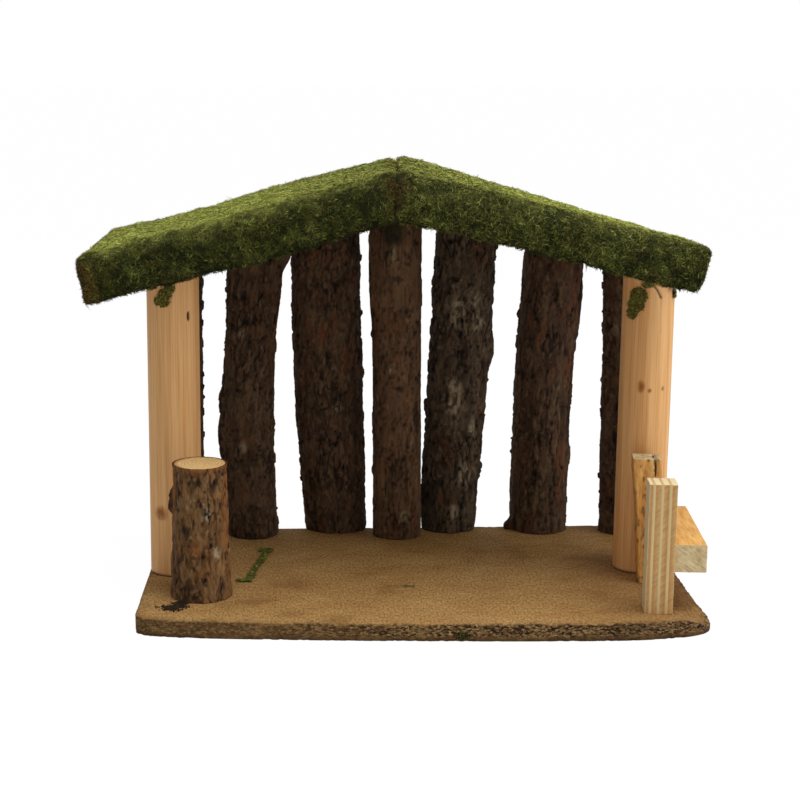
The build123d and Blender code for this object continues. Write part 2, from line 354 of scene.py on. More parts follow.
@dataclass(frozen=True)
class Bark(Finish):
    """Dry conifer bark: dull plates of mixed browns, nearly black furrows, and patches of rust, lichen and algae."""

    plate: str
    pale_plate: str
    furrow: str
    rust: str
    lichen: str
    rust_share: float  # how much of the surface has lost its outer scales
    lichen_share: float
    streak: float  # length of a fibre streak, in millimetres
    algae: str = "#191f0d"

    def paint(self, tree: Tree) -> Inputs:
        """Adds plate colours, furrows and patches.

        Args:
            tree: The material's node tree.

        Returns:
            Colour, normal and gloss for the main shader.
        """
        streaks = self.grain(tree, (1.4, 1.4, self.streak), detail=5)
        patches = self.grain(tree, (9, 9, 18), detail=4)
        spots = self.grain(tree, (4.5, 4.5, 6), detail=5, rough=0.6)
        tone = add_node(tree, "ShaderNodeAttribute", {}, give="Fac", attribute_name="tone")
        mixed = add_node(tree, "ShaderNodeMath", {0: tone, 1: streaks}, operation="MULTIPLY")
        plate = self.coated(
            tree,
            self.plate,
            Coat(self.pale_plate, mixed, 0.08, 0.5),
            Coat(self.rust, patches, 0.52, 0.66, self.rust_share),
            Coat(self.lichen, spots, 0.6, 0.68, self.lichen_share),
            Coat(self.rust, Tint.RUST.value),
            Coat(self.lichen, Tint.PALE.value),
            Coat(self.algae, Tint.GREEN.value),
        )
        colour = self.coated(tree, self.furrow, Coat(plate, "depth"))
        relief = {"Height": streaks, "Strength": 0.8, "Distance": 0.5 * MM}
        # corky scales have almost no shine
        return {"Base Color": colour, "Normal": add_node(tree, "ShaderNodeBump", relief), "Specular IOR Level": 0.2}


@dataclass(frozen=True)
class EndGrain(Finish):
    """Sawn end of a log: pale rings with darker summer wood, more orange towards the bark."""

    pale: str
    ring: str
    rim: str
    ring_wide: float  # in millimetres
    radius: float  # of the wood inside the bark
    wander: float = 1.8  # how far the rings stray from a circle

    def paint(self, tree: Tree) -> Inputs:
        """Adds growth rings round the pith and saw marks.

        Args:
            tree: The material's node tree.

        Returns:
            Colour and normal for the main shader.
        """
        wobble = self.grain(tree, (6, 6, 6), detail=4)
        grit = self.grain(tree, (1.8, 1.3, 1.8), detail=3)
        reach = add_node(tree, "ShaderNodeAttribute", {}, give="Fac", attribute_name="reach")
        bent = add_node(tree, "ShaderNodeMath", {0: wobble, 1: self.wander, 2: reach}, operation="MULTIPLY_ADD")
        phase = add_node(tree, "ShaderNodeMath", {0: bent, 1: 2 * pi / self.ring_wide}, operation="MULTIPLY")
        wave = add_node(tree, "ShaderNodeMath", {0: phase}, operation="SINE")
        colour = self.coated(
            tree,
            self.pale,
            Coat(self.ring, wave, most=0.45),
            Coat(self.ring, grit, 0.45, 0.7, 0.5),
            Coat(self.rim, bent, 0.95 * self.radius, 1.1 * self.radius),
        )
        relief = {"Height": grit, "Strength": 0.5, "Distance": 0.3 * MM}
        return {"Base Color": colour, "Normal": add_node(tree, "ShaderNodeBump", relief)}


@dataclass(frozen=True)
class Chipboard(Finish):
    """Pressed chips in resin: a tan face with faint flecks, and torn edges where dark gaps lie among pale chips."""

    body: str
    pale: str
    fleck: str
    chip_pale: str
    gap: str
    low_edge: str
    chip: float  # length of a chip, in millimetres

    def paint(self, tree: Tree) -> Inputs:
        """Adds chips, flecks, the open edge and painted shadow.

        Args:
            tree: The material's node tree.

        Returns:
            Colour, normal and gloss for the main shader.
        """
        clouds = self.grain(tree, (30, 22, 30), detail=3)
        # real flecks of under 1 mm are too fine to show on the face, so they are drawn as long as the camera sees them
        specks = self.grain(tree, (1.5, 3.6, 1.5), detail=3, rough=0.6)
        flecks = self.grain(tree, (2.2, 4.0, 1.2), detail=6, rough=0.7)
        chip_place = self.spread(tree, (self.chip, self.chip, 0.5 * self.chip))
        chips = add_node(tree, "ShaderNodeTexVoronoi", {"Vector": chip_place, "Scale": 1.0}, give="Color")
        chip_tone = add_node(tree, "ShaderNodeSeparateColor", {"Color": chips}, give="Red")
        face = self.coated(
            tree,
            self.body,
            Coat(self.pale, clouds, 0.35, 0.7, 0.65),
            Coat(self.fleck, specks, 0.36, 0.7, 0.85),
            # painted shadow round the fence, and a little darker towards the front
            Coat(self.fleck, "front_dark_and_fence_shadow"),
            Coat(self.fleck, clouds, 0.42, 0.28, 0.35),
        )
        sawn = self.coated(
            tree,
            self.gap,
            Coat(self.chip_pale, chip_tone, 0.3, 1.0),
            Coat(self.gap, flecks, 0.46, 0.62, 0.7),
            Coat(self.low_edge, "low"),
            # painted shadow along the lowest part of the edge
            Coat(self.gap, "under"),
        )
        colour = self.coated(tree, face, Coat(sawn, "edge"))
        relief = {"Height": flecks, "Strength": 0.5, "Distance": 0.3 * MM}
        # dust and open pores leave hardly any shine
        return {"Base Color": colour, "Normal": add_node(tree, "ShaderNodeBump", relief), "Specular IOR Level": 0.12}


@dataclass(frozen=True)
class Plywood(Finish):
    """Sawn plywood: broad brown plies with slanting saw marks, thin pale plies between them, and a pale top."""

    end_grain: str
    end_grain_tan: str
    end_grain_dark: str
    long_grain: str
    top_pale: str
    top_line: str
    first_pale: float  # middle of the first pale ply, from the upright's left side
    ply_pitch: float
    pale_wide: float
    saw_slant: float = 50.0  # of the saw marks, in degrees

    def paint(self, tree: Tree) -> Inputs:
        """Adds the plies and the saw marks.

        Args:
            tree: The material's node tree.

        Returns:
            Colour and normal for the main shader.
        """
        across = add_node(tree, "ShaderNodeAttribute", {}, give="Fac", attribute_name="ply")
        from_pale = add_node(tree, "ShaderNodeMath", {0: across, 1: self.first_pale}, operation="SUBTRACT")
        nearest = add_node(tree, "ShaderNodeMath", {0: from_pale, 1: self.ply_pitch / 2}, operation="PINGPONG")
        every_other = add_node(tree, "ShaderNodeMath", {0: from_pale, 1: self.ply_pitch}, operation="PINGPONG")
        marks = self.grain(tree, (1.7, 1.7, 11), detail=4, slant=self.saw_slant)
        brown = self.coated(
            tree,
            self.end_grain,
            Coat(self.end_grain_tan, every_other, 0.35 * self.ply_pitch, 0.65 * self.ply_pitch),
            Coat(self.end_grain_dark, marks, 0.42, 0.66, 0.5),
            Coat(self.top_pale, "top"),
        )
        thin = self.coated(tree, self.long_grain, Coat(self.top_line, "top"))
        colour = self.coated(tree, brown, Coat(thin, nearest, 0.65 * self.pale_wide, 0.3 * self.pale_wide))
        relief = {"Height": marks, "Strength": 0.5, "Distance": 0.25 * MM}
        return {"Base Color": colour, "Normal": add_node(tree, "ShaderNodeBump", relief)}


@dataclass(frozen=True)
class MossPile(Finish):
    """Dried and dyed moss: dull strands in painted light and shade, with painted shade nearly black at the root, and
    tips painted yellow-green where lit and dark olive where shaded.
    """

    root: str
    tip_sun: str
    tip_shade: str
    green: str
    dry: str

    def paint(self, tree: Tree) -> Inputs:
        """Adds the change of colour from root to tip, the painted light and shade, and the change from strand to
        strand.

        Args:
            tree: The material's node tree.

        Returns:
            Colour and gloss for the main shader.
        """
        tip = self.coated(
            tree,
            self.tip_sun,
            # painted light and shade: the tip is lit yellow-green where shade is 0 and dark olive where it is 1
            Coat(self.tip_shade, "shade"),
            Coat(self.green, "tint", most=0.5),
            Coat(self.dry, "dry"),
        )
        return {"Base Color": self.coated(tree, self.root, Coat(tip, "along")), "Specular IOR Level": 0.2}


@dataclass(frozen=True)
class WireSteel(Finish):
    """Drawn steel wire, dulled by oil and air: grey metal with faint cloudy stains."""

    clean: str
    stained: str

    def paint(self, tree: Tree) -> Inputs:
        """Adds the stains.

        Args:
            tree: The material's node tree.

        Returns:
            Colour, metal and normal for the main shader.
        """
        stains = self.grain(tree, (1.5, 1.5, 1.5), detail=3)
        colour = self.coated(tree, self.clean, Coat(self.stained, stains))
        relief = {"Height": stains, "Strength": 0.3, "Distance": 0.05 * MM}
        return {"Base Color": colour, "Metallic": 1.0, "Normal": add_node(tree, "ShaderNodeBump", relief)}


# Pine shaved with a drawknife: a smooth, dry surface with fine upright fibres and warm bands
PEELED_PINE = Timber(
    "shaved_peeled_pine", roughness=0.55, ior=1.5,
    pale="#ecba7e", warm="#dca263", dark="#b87b42", knot="#945418", pit_and_painted_shadow="#3a1e10",
    fibre=(0.9, 0.9, 55), band=(4, 4, 150), streak=0.5, relief=0.12,
)
# Pine split along its fibres and left rough: deeper streaks and an orange tone
SPLIT_PINE = Timber(
    "rough_split_pine", roughness=0.7, ior=1.5,
    pale="#e6b46a", warm="#d0934a", dark="#965f2a", knot="#5a3418", pit_and_painted_shadow="#160c06",
    fibre=(1.2, 1.2, 14), band=(5, 5, 30), streak=0.7, relief=0.35,
)
# Spruce from the saw: flat, fuzzy and bright, with the fibres along the rail
SAWN_SPRUCE = Timber(
    "sawn_spruce_batten", roughness=0.65, ior=1.5,
    pale="#dfb168", warm="#cf9649", dark="#a9702f", knot="#8a5a30", pit_and_painted_shadow="#4a3018",
    fibre=(1.6, 12, 1.6), band=(6, 24, 6), streak=0.6, relief=0.2,
)
# Spruce end grain from the saw: greyer and paler than its long sides, with slanting ticks
SPRUCE_END = Timber(
    "sawn_spruce_end", roughness=0.75, ior=1.5,
    pale="#dac69b", warm="#c6ab7d", dark="#836a44", knot="#8a5a30", pit_and_painted_shadow="#4a3018",
    fibre=(1.0, 1.0, 6), band=(7, 7, 7), streak=0.6, relief=0.2, slant=-50,
)
# Old outer bark of a pine: dull dark brown scales that hide a redder layer
DARK_BARK = Bark(
    "pine_bark_old_scales", roughness=0.9, ior=1.45,
    plate="#3b2c21", pale_plate="#6e563e", furrow="#110b08", rust="#66402a", lichen="#85765e",
    rust_share=0.5, lichen_share=0.3, streak=4.5,
)
# Young bark of a branch: thin, closer and browner, with fine upright lines
SMOOTH_BARK = Bark(
    "pine_bark_young_branch", roughness=0.85, ior=1.45,
    plate="#563f2c", pale_plate="#775c42", furrow="#1c130b", rust="#744425", lichen="#a09070",
    rust_share=0.35, lichen_share=0.25, streak=9,
)
# Bark with its scales rubbed off in places: grey-tan plates beside black furrows
GREY_BARK = Bark(
    "pine_bark_grey_plates", roughness=0.9, ior=1.45,
    plate="#3a2e24", pale_plate="#6a5a45", furrow="#0e0907", rust="#63391f", lichen="#96876e",
    rust_share=0.35, lichen_share=0.4, streak=4.5,
)
# Bark of the stump: sun-greyed plates over a reddish layer
STUMP_BARK = Bark(
    "pine_bark_weathered_stump", roughness=0.9, ior=1.45,
    plate="#5a3f24", pale_plate="#8a6742", furrow="#140b06", rust="#8a5528", lichen="#b0a084",
    rust_share=0.3, lichen_share=0.25, streak=6,
)
# Log end from a fine saw: open grain, yellow at the heart and orange under the bark; real rings of about 1 mm are
# too fine to show, so they are drawn 2.4 mm wide
LOG_END = EndGrain(
    "sawn_log_end", roughness=0.75, ior=1.5, pale="#eeca8a", ring="#b27c3c", rim="#9c5a24", ring_wide=2.4, radius=18.0
)
# Particle board: a sanded tan face and torn edges
PARTICLE_BOARD = Chipboard(
    "raw_particle_board", roughness=0.8, ior=1.5,
    body="#b1884e", pale="#cba668", fleck="#64442a", chip_pale="#a88759", gap="#2b190c", low_edge="#634829", chip=1.8,
)
# Birch plywood cut across on a saw: dry, open ends of fibres between smoother thin lines
SAWN_PLYWOOD = Plywood(
    "sawn_birch_plywood", roughness=0.7, ior=1.5,
    end_grain="#b88950", end_grain_tan="#c39d64", end_grain_dark="#98692f", long_grain="#cbb27d",
    top_pale="#dcc89b", top_line="#bb9c67", first_pale=3.1, ply_pitch=5.4, pale_wide=1.9,
)
# Dried moss sheet: each strand is matt, and light sinks in among the strands; the nearly black root colour is painted
# shade among them
ROOF_MOSS = MossPile(
    "dried_moss_sheet", roughness=0.9, ior=1.4,
    root="#0a0b04", tip_sun="#cdd369", tip_shade="#414318", green="#4c5518", dry="#765a2b",
)
# Bright wire nails: a soft metal gleam under a film of oil
NAIL_STEEL = WireSteel("drawn_nail_steel", roughness=0.38, ior=1.5, clean="#9a9c9e", stained="#6c6a68")


def in_scene(name: str, data: bpy.types.ID) -> Object:
    """Makes an object and puts it in the scene.

    Args:
        name: The object's name.
        data: Its mesh, lamp or camera.

    Returns:
        The new object.
    """
    made = bpy.data.objects.new(name, data)
    bpy.context.scene.collection.objects.link(made)
    return made


def make_piece(name: str, skin: Skin, finishes: Sequence[Finish], face_finish: Array | None = None) -> Object:
    """Makes one object from plain arrays.

    Args:
        name: The piece's name.
        skin: Points in millimetres, arrays of faces that each have one number of corners, and numbers for the finishes.
        finishes: Finishes for the material slots.
        face_finish: Slot number of each face, in the order of the faces.

    Returns:
        The new object, smooth shaded and in the scene.
    """
    points, faces, values = skin
    mesh = bpy.data.meshes.new(name)
    corners = np.concatenate([group.ravel() for group in faces]).astype(np.int32)
    counts = np.concatenate([np.full(len(group), group.shape[1]) for group in faces])
    starts = np.concatenate([[0], np.cumsum(counts)[:-1]]).astype(np.int32)
    mesh.vertices.add(len(points))
    mesh.vertices.foreach_set("co", (points * MM).astype(np.float32).ravel())
    mesh.loops.add(len(corners))
    mesh.loops.foreach_set("vertex_index", corners)
    mesh.polygons.add(len(counts))
    mesh.polygons.foreach_set("loop_start", starts)
    for finish in finishes:
        mesh.materials.append(finish.material())
    if face_finish is not None:
        mesh.polygons.foreach_set("material_index", face_finish.astype(np.int32))
    mesh.polygons.foreach_set("use_smooth", np.ones(len(counts), dtype=bool))
    for key, numbers in values.items():
        mesh.attributes.new(key, "FLOAT", "POINT").data.foreach_set("value", numbers.astype(np.float32).ravel())
    mesh.update(calc_edges=True)
    mesh.validate()
    return in_scene(name, mesh)


def seat(piece: Object, slot: str, *nodes: str) -> None:
    """Fixes a piece to the stable and reports it.

    Args:
        piece: The finished piece.
        slot: The record's material slot for it; not used.
        nodes: Solids that it stands for, if any.
    """
    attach(piece, "root")
    if nodes:
        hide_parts(*nodes)
    log.info("%s: %d faces, for %s", piece.name, len(piece.data.polygons), ", ".join(nodes) or "itself")


def closed(rows: Array, values: dict[str, Array] | None = None) -> Skin:
    """Joins a stack of closed rings into one skin, with a fan of faces over each end.

    Args:
        rows: Rings of points, counter-clockwise seen from the last ring.
        values: Numbers kept on the points, in the same order.

    Returns:
        Points, faces with their normals outwards, and the numbers with the two fans' middles added.
    """
    count, columns = rows.shape[:2]
    row, column = np.meshgrid(np.arange(count - 1), np.arange(columns), indexing="ij")
    low_left = row * columns + column
    low_right = row * columns + (column + 1) % columns
    sides = np.stack([low_left, low_right, low_right + columns, low_left + columns], axis=-1)
    first = np.arange(columns)
    last = first + (count - 1) * columns
    middle = np.full(columns, count * columns)
    low_fan = np.stack([np.roll(first, -1), first, middle], axis=-1)
    high_fan = np.stack([last, np.roll(last, -1), middle + 1], axis=-1)
    points = np.concatenate([rows.reshape(-1, 3), rows[[0, -1]].mean(axis=1)])
    full = {}
    for key, numbers in (values or {}).items():
        grid = numbers.reshape(count, columns)
        full[key] = np.concatenate([grid.ravel(), grid[[0, -1]].mean(axis=1)])
    return points, [sides.reshape(-1, 4), low_fan, high_fan], full


def shrunk(ring: Array, shares: Sequence[float]) -> Array:
    """Smaller rings, each a share of the old one's size, that close in on its own middle."""
    middle = ring.mean(axis=0)
    return np.stack([middle + (ring - middle) * share for share in shares])


@dataclass(frozen=True)
class Layout:
    """Sizes that several sub-assemblies share, in millimetres, as the solids have them."""

    base_width: float = 380.0
    base_depth: float = 224.0
    base_thick: float = 12.0
    base_skew: float = 7.0
    ridge_x: float = -11.5
    ridge_height: float = 267.2
    left_pitch: float = 14.5
    right_pitch: float = 14.2
    board_thick: float = 15.0
    roof_front_inset: float = 37.0
    head_gap: float = 0.2  # left between the roof boards and what stands under them
    left_post: Place = (-171.25, 0.7)
    right_post: Place = (165.75, 7.4)
    post_wide: float = 36.5

    @property
    def ridge_z(self) -> float:
        """Height of the boards' underside at the ridge."""
        return self.base_thick + self.ridge_height

    @property
    def rear_turn(self) -> float:
        """Slope of the base's rear edge, which is out of square."""
        return 2 * self.base_skew / self.base_width

    def rear_edge(self, x: Array | float) -> Array | float:
        """Place of the base's rear edge at a place along it."""
        return self.base_depth / 2 + self.rear_turn * x

    def pitch(self, side: int) -> float:
        """Slope of the roof in radians, on the left (-1) or on the right (1)."""
        return radians(self.left_pitch if side < 0 else self.right_pitch)

    def underside(self, x: Array) -> Array:
        """Height of the roof boards' underside at places across the roof."""
        slope = np.where(x < self.ridge_x, tan(self.pitch(-1)), tan(self.pitch(1)))
        return self.ridge_z - np.abs(x - self.ridge_x) * slope

    def head_height(self, x: Array) -> Array:
        """Height at which logs and posts are cut off, a hair under the roof boards."""
        return self.underside(x) - self.head_gap


LAYOUT = Layout()


@dataclass(frozen=True)
class BarkGrain:
    """How bark breaks up: the size of its plates, the depth of its furrows and how far its scales stand out."""

    plate_wide: float
    plate_long: float
    furrow: float  # depth of a furrow between two plates
    plate_step: float  # from one plate's face to the next
    flake_step: float  # from one flake's face to the next
    swell: float  # of the whole surface
    scale_share: float  # of the flakes that stand off as scales
    scale_rise: float
    flakes_across: float = 2.2  # flakes to a plate's width
    flake_long: float = 0.36  # as a share of a plate's length

    def relief(
        self, across: Array, along: Array, places: Array, seed: int, girth: float = 0.0
    ) -> tuple[Array, Array, Array]:
        """Works out the bark's height and colour numbers.

        Args:
            across: Place round the girth, in millimetres.
            along: Place along the log.
            places: Points on the plain surface, for noise that has no seam.
            seed: Picks one pattern out of many.
            girth: Whole girth of a closed log, or 0 on a split one.

        Returns:
            Height over the plain surface, share of light plate over dark furrow, and tone of the plate.
        """
        turns = round(girth / self.plate_wide) if girth else 0
        wide = girth / turns if turns else self.plate_wide
        fine_turns = round(self.flakes_across * turns)
        fine_wide = girth / fine_turns if turns else wide / self.flakes_across
        side = across + 0.8 * self.plate_wide * lumps(places, (6, 6, 10), seed, 3)
        up = along + 0.35 * self.plate_long * lumps(places, (4, 4, 7), seed + 7, 2)
        edge, plate = plates(side, up, wide, self.plate_long, seed, turns)
        flake_edge, flake = plates(side, up, fine_wide, self.flake_long * self.plate_long, seed + 20, fine_turns)
        groove = (1 - rise(edge, 0.0, 0.3)) * rise(lumps(places, (9, 9, 20), seed + 30, 2), -0.35, 0.45)
        crack = (1 - rise(flake_edge, 0.0, 0.3)) * rise(lumps(places, (4, 4, 9), seed + 31), -0.4, 0.6)
        grit = lumps(places, (1.8, 1.8, 4.0), seed + 40, 2)
        height = self.swell * lumps(places, (13, 13, 34), seed + 50, 2)
        height += self.plate_step * (plate - 0.5) + self.flake_step * (flake - 0.5) + 0.5 * self.flake_step * grit
        standing = rise(flake, 1 - self.scale_share, 1 - 0.6 * self.scale_share) * rise(flake_edge, 0, 0.2)
        height += self.scale_rise * standing
        height -= self.furrow * groove + 0.5 * self.flake_step * crack
        depth = np.clip(1 - 0.75 * groove - 0.45 * crack - 0.65 * rise(-grit, 0.05, 0.6), 0, 1)
        tone = 0.35 * plate + 0.35 * flake + 0.3 * (0.5 + 0.5 * lumps(places, (5, 5, 16), seed + 60, 2))
        return height - 0.5 * self.furrow, depth, tone


@dataclass(frozen=True)
class Mark:
    """A place on a round log: degrees to the right of the front, height, and size in millimetres."""

    turn: float
    height: float
    wide: float
    tall: float

    def share(self, spot: Spot) -> Array:
        """How far points lie within the mark.

        Args:
            spot: Where the points are on the log.

        Returns:
            1 in the middle of the mark, falling smoothly to 0 round it.
        """
        turn, radius, height = spot
        across = (turn - radians(self.turn)) * radius / (self.wide / 2)
        up = (height - self.height) / (self.tall / 2)
        return np.exp(-((across**2 + up**2) ** 1.5))


@dataclass(frozen=True)
class Burr(Mark):
    """A lump or, with a negative rise, a dent."""

    rise: float = 2.0


@dataclass(frozen=True)
class Patch(Mark):
    """A patch of another colour."""

    tint: Tint = Tint.PALE


def mottle(places: Array, seed: int) -> Array:
    """How a patch of colour breaks up on bark, from 0, not there, to 1."""
    return rise(lumps(places, (2.4, 2.4, 4.5), seed, 2), -0.35, 0.25)


def covered(patches: Sequence[Patch], tint: Tint, spot: Spot) -> Array:
    """How far the patches of one colour cover each point on a log."""
    return sum((patch.share(spot) for patch in patches if patch.tint is tint), np.zeros(spot[2].shape))


PLATED = BarkGrain(
    plate_wide=4.2, plate_long=14.0, furrow=0.9, plate_step=0.5,
    flake_step=0.7, swell=0.8, scale_share=0.06, scale_rise=0.9,
)
CLOSE = BarkGrain(
    plate_wide=3.2, plate_long=34.0, furrow=0.35, plate_step=0.25,
    flake_step=0.35, swell=0.4, scale_share=0.01, scale_rise=0.7,
)
DEEP = BarkGrain(
    plate_wide=5.5, plate_long=17.0, furrow=1.3, plate_step=0.7,
    flake_step=0.9, swell=0.9, scale_share=0.05, scale_rise=0.9,
)
LONG = BarkGrain(
    plate_wide=4.5, plate_long=32.0, furrow=1.2, plate_step=0.6,
    flake_step=0.7, swell=0.6, scale_share=0.04, scale_rise=0.9,
)


@dataclass(frozen=True)
class RowLog:
    """One split log of the back row, from foot to head, with the marks that tell it from its neighbours."""

    gap: float  # to its neighbour on the left, at the foot
    foot_wide: float
    waist_wide: float
    head_wide: float
    thick: float
    waist_shift: float  # to the right of the foot
    head_shift: float
    grain: BarkGrain
    finish: Bark
    burrs: tuple[Burr, ...] = ()
    patches: tuple[Patch, ...] = ()


# gap, widths at foot, waist and head, thickness, shifts of waist and head, bark
ROW_LOGS = (
    RowLog(2, 30, 31, 31, 26, 0.5, 1.0, PLATED, DARK_BARK),
    RowLog(
        18, 40, 40.5, 45, 32, -1.9, 10.3, PLATED, DARK_BARK,
        burrs=(
            Burr(88, 233, 16, 21, 7.0), Burr(88, 205, 16, 52, 2.6), Burr(-88, 122, 14, 20, 3.4),
            Burr(-88, 92, 16, 46, 4.6), Burr(-88, 180, 12, 46, -1.5),
        ),
        patches=(
            # the rust patch at 82 degrees, on the right edge, is partly the bark's red layer and partly painted warm
            # light from the right
            Patch(-14, 87, 5, 9), Patch(82, 152, 6, 44, Tint.RUST), Patch(-20, 178, 4, 10),
        ),
    ),
    RowLog(
        21, 49, 55, 51, 17, -7.0, -9.7, PLATED, DARK_BARK,
        burrs=(
            Burr(50, 156, 12, 22, 2.5), Burr(52, 194, 10, 5, -2.5), Burr(-52, 34, 10, 22, 2.5),
            Burr(52, 18, 10, 16, 2.0),
        ),
        patches=(
            Patch(12, 112, 6, 9), Patch(30, 152, 12, 16, Tint.RUST), Patch(-6, 170, 9, 16, Tint.RUST),
        ),
    ),
    RowLog(
        3.5, 38, 38, 40, 36, -1.5, -4.0, CLOSE, SMOOTH_BARK,
        burrs=(
            Burr(-14, 146, 9, 10, 0.9), Burr(-86, 216, 12, 64, 1.9), Burr(-86, 246, 5, 8, 1.0),
            Burr(-86, 172, 5, 6, 1.4), Burr(-88, 64, 6, 8, 1.4),
        ),
        patches=(
            Patch(-14, 146, 6, 8), Patch(14, 31, 6, 9), Patch(-13, 251, 20, 26, Tint.GREEN),
            Patch(-10, 235, 3, 12),
        ),
    ),
    RowLog(
        1.5, 44, 49, 47, 20.5, 6.4, 13.8, DEEP, GREY_BARK,
        burrs=(
            Burr(72, 155, 14, 28, 2.8), Burr(-76, 45, 12, 60, 1.9), Burr(50, 120, 8, 30, -1.8),
            Burr(40, 70, 6, 90, -1.6), Burr(-30, 205, 5, 60, -1.6),
        ),
        patches=(
            Patch(18, 198, 8, 13), Patch(26, 180, 9, 14), Patch(-14, 186, 12, 20),
            Patch(-10, 120, 14, 30), Patch(22, 60, 12, 20), Patch(2, 30, 8, 12),
            Patch(30, 96, 8, 16),
        ),
    ),
    RowLog(
        26, 46, 46, 47.5, 26, 2.7, 14.9, LONG, DARK_BARK,
        burrs=(
            Burr(84, 186, 12, 50, 2.4), Burr(-84, 14, 9, 10, 6.0), Burr(38, 120, 5, 120, -1.5),
            Burr(58, 90, 4, 90, -1.5), Burr(-84, 182, 8, 6, 1.6),
        ),
        patches=(
            # the rust patches on the right side are partly the bark's red layer and partly painted warm light from the
            # right
            Patch(45, 195, 16, 44, Tint.RUST), Patch(55, 140, 12, 40, Tint.RUST), Patch(40, 60, 12, 50, Tint.RUST),
        ),
    ),
    RowLog(
        24, 35, 35, 36, 31, -1.5, -4.5, PLATED, DARK_BARK,
        burrs=(Burr(-82, 130, 14, 320, 1.3),),
        patches=(Patch(-40, 176, 5, 12),),
    ),
)


@dataclass
class LogWall:
    """The row of split bark logs along the base's rear edge."""

    layout: Layout
    logs: tuple[RowLog, ...]
    spare: float = 30.0  # how far the drawn sections run on above the ridge
    mesh_step: float = 0.75
    row_stretch: float = 1.25  # height of a face to its width
    back_columns: int = 14
    back_depth: float = 0.6  # the sawn back's share of light plate, and its tone
    back_tone: float = 0.5
    patch_gain: float = 1.4  # how strongly the patches of colour show, and how much they hide at most
    patch_most: float = 0.85
    noise_apart: float = 50.0  # so that no two logs have the same bark

    def build(self) -> None:
        """Makes every log, from left to right."""
        reach = -self.layout.base_width / 2
        for number, row_log in enumerate(self.logs, start=1):
            foot_x = reach + row_log.gap + row_log.foot_wide / 2
            reach += row_log.gap + row_log.foot_wide
            seat(self.split_log(number, row_log, foot_x), "pine_bark", f"back_log_{number}")

    def section(self, row_log: RowLog, foot_x: float, height: Array) -> tuple[Array, Array]:
        """Reads a log's lean and swell at heights.

        Args:
            row_log: The log.
            foot_x: Place of its foot along the row.
            height: Heights over the ground.

        Returns:
            Middle of the log and its width, at each height.
        """
        low, high = self.layout.base_thick, self.layout.ridge_z + self.spare
        share = (height - low) / (high - low)
        foot, waist, head = 2 * (share - 0.5) * (share - 1), 4 * share * (1 - share), 2 * share * (share - 0.5)
        middle = foot_x + waist * row_log.waist_shift + head * row_log.head_shift
        wide = foot * row_log.foot_wide + waist * row_log.waist_wide + head * row_log.head_wide
        return middle, wide

    def split_log(self, number: int, row_log: RowLog, foot_x: float) -> Object:
        """Makes one log: bark round the front, a flat sawn back, and a head cut to the roof's slope.

        Args:
            number: The log's place in the row.
            row_log: The log's sizes.
            foot_x: Place of its foot along the row.

        Returns:
            The log.
        """
        thick, layout, seed = row_log.thick, self.layout, 31 * number
        columns = round(pi / 2 * (row_log.waist_wide + thick) / 2 / self.mesh_step)
        rows = round(layout.ridge_height / (self.row_stretch * self.mesh_step))
        share = np.linspace(-1, 1, columns)[None, :]
        level = np.linspace(0, 1, rows)[:, None]
        head_x = foot_x + row_log.head_shift + share * row_log.head_wide / 2
        height = layout.base_thick + level * (layout.underside(head_x) - layout.base_thick)
        middle, wide = self.section(row_log, foot_x, height)
        radius = np.where(thick < wide / 2, (wide**2 / 4 + thick**2) / (2 * thick), wide / 2)
        axis = radius - thick
        turn = share * np.arccos(axis / radius)
        across = turn * radius
        places = np.stack([across, np.full(across.shape, self.noise_apart * number), height], axis=-1)
        bark, depth, tone = row_log.grain.relief(across, height, places, seed)
        spot = (turn, radius, height)
        for burr in row_log.burrs:
            bark = bark + burr.rise * burr.share(spot)
        reach = radius + bark
        blank = np.zeros((rows, self.back_columns))
        side = np.concatenate([reach * np.sin(turn), self.back(reach * np.sin(turn))], axis=1)
        back = np.concatenate([np.minimum(axis - reach * np.cos(turn), 0), blank], axis=1)
        slant = atan(layout.rear_turn)
        centre = middle.mean(axis=1, keepdims=True)
        x = centre + side * cos(slant) - back * sin(slant)
        y = layout.rear_edge(centre) + side * sin(slant) + back * cos(slant)
        z = layout.base_thick + level * (layout.head_height(x) - layout.base_thick)
        rings = np.stack([x, y, z], axis=-1)
        values = {
            "depth": np.concatenate([depth, blank + self.back_depth], axis=1),
            "tone": np.concatenate([tone, blank + self.back_tone], axis=1),
        }
        broken = self.patch_gain * mottle(places, seed + 70)
        for tint in Tint:
            total = covered(row_log.patches, tint, spot)
            total = np.clip(total if tint is Tint.GREEN else broken * total, 0, self.patch_most)
            values[tint.value] = np.concatenate([total, blank], axis=1)
        column = np.arange(columns + self.back_columns)
        sawn = (column >= columns + 1) & (column < len(column) - 2)
        face_finish = np.concatenate([np.tile(sawn, rows - 1), np.ones(2 * len(column))])
        return make_piece(f"bark_log_{number}", closed(rings, values), (row_log.finish, SPLIT_PINE), face_finish)

    def back(self, side: Array) -> Array:
        """Places across the sawn back, from the right edge of the bark to the left."""
        share = np.linspace(1, 0, self.back_columns + 2)[None, 1:-1]
        return side[:, :1] + share * (side[:, -1:] - side[:, :1])


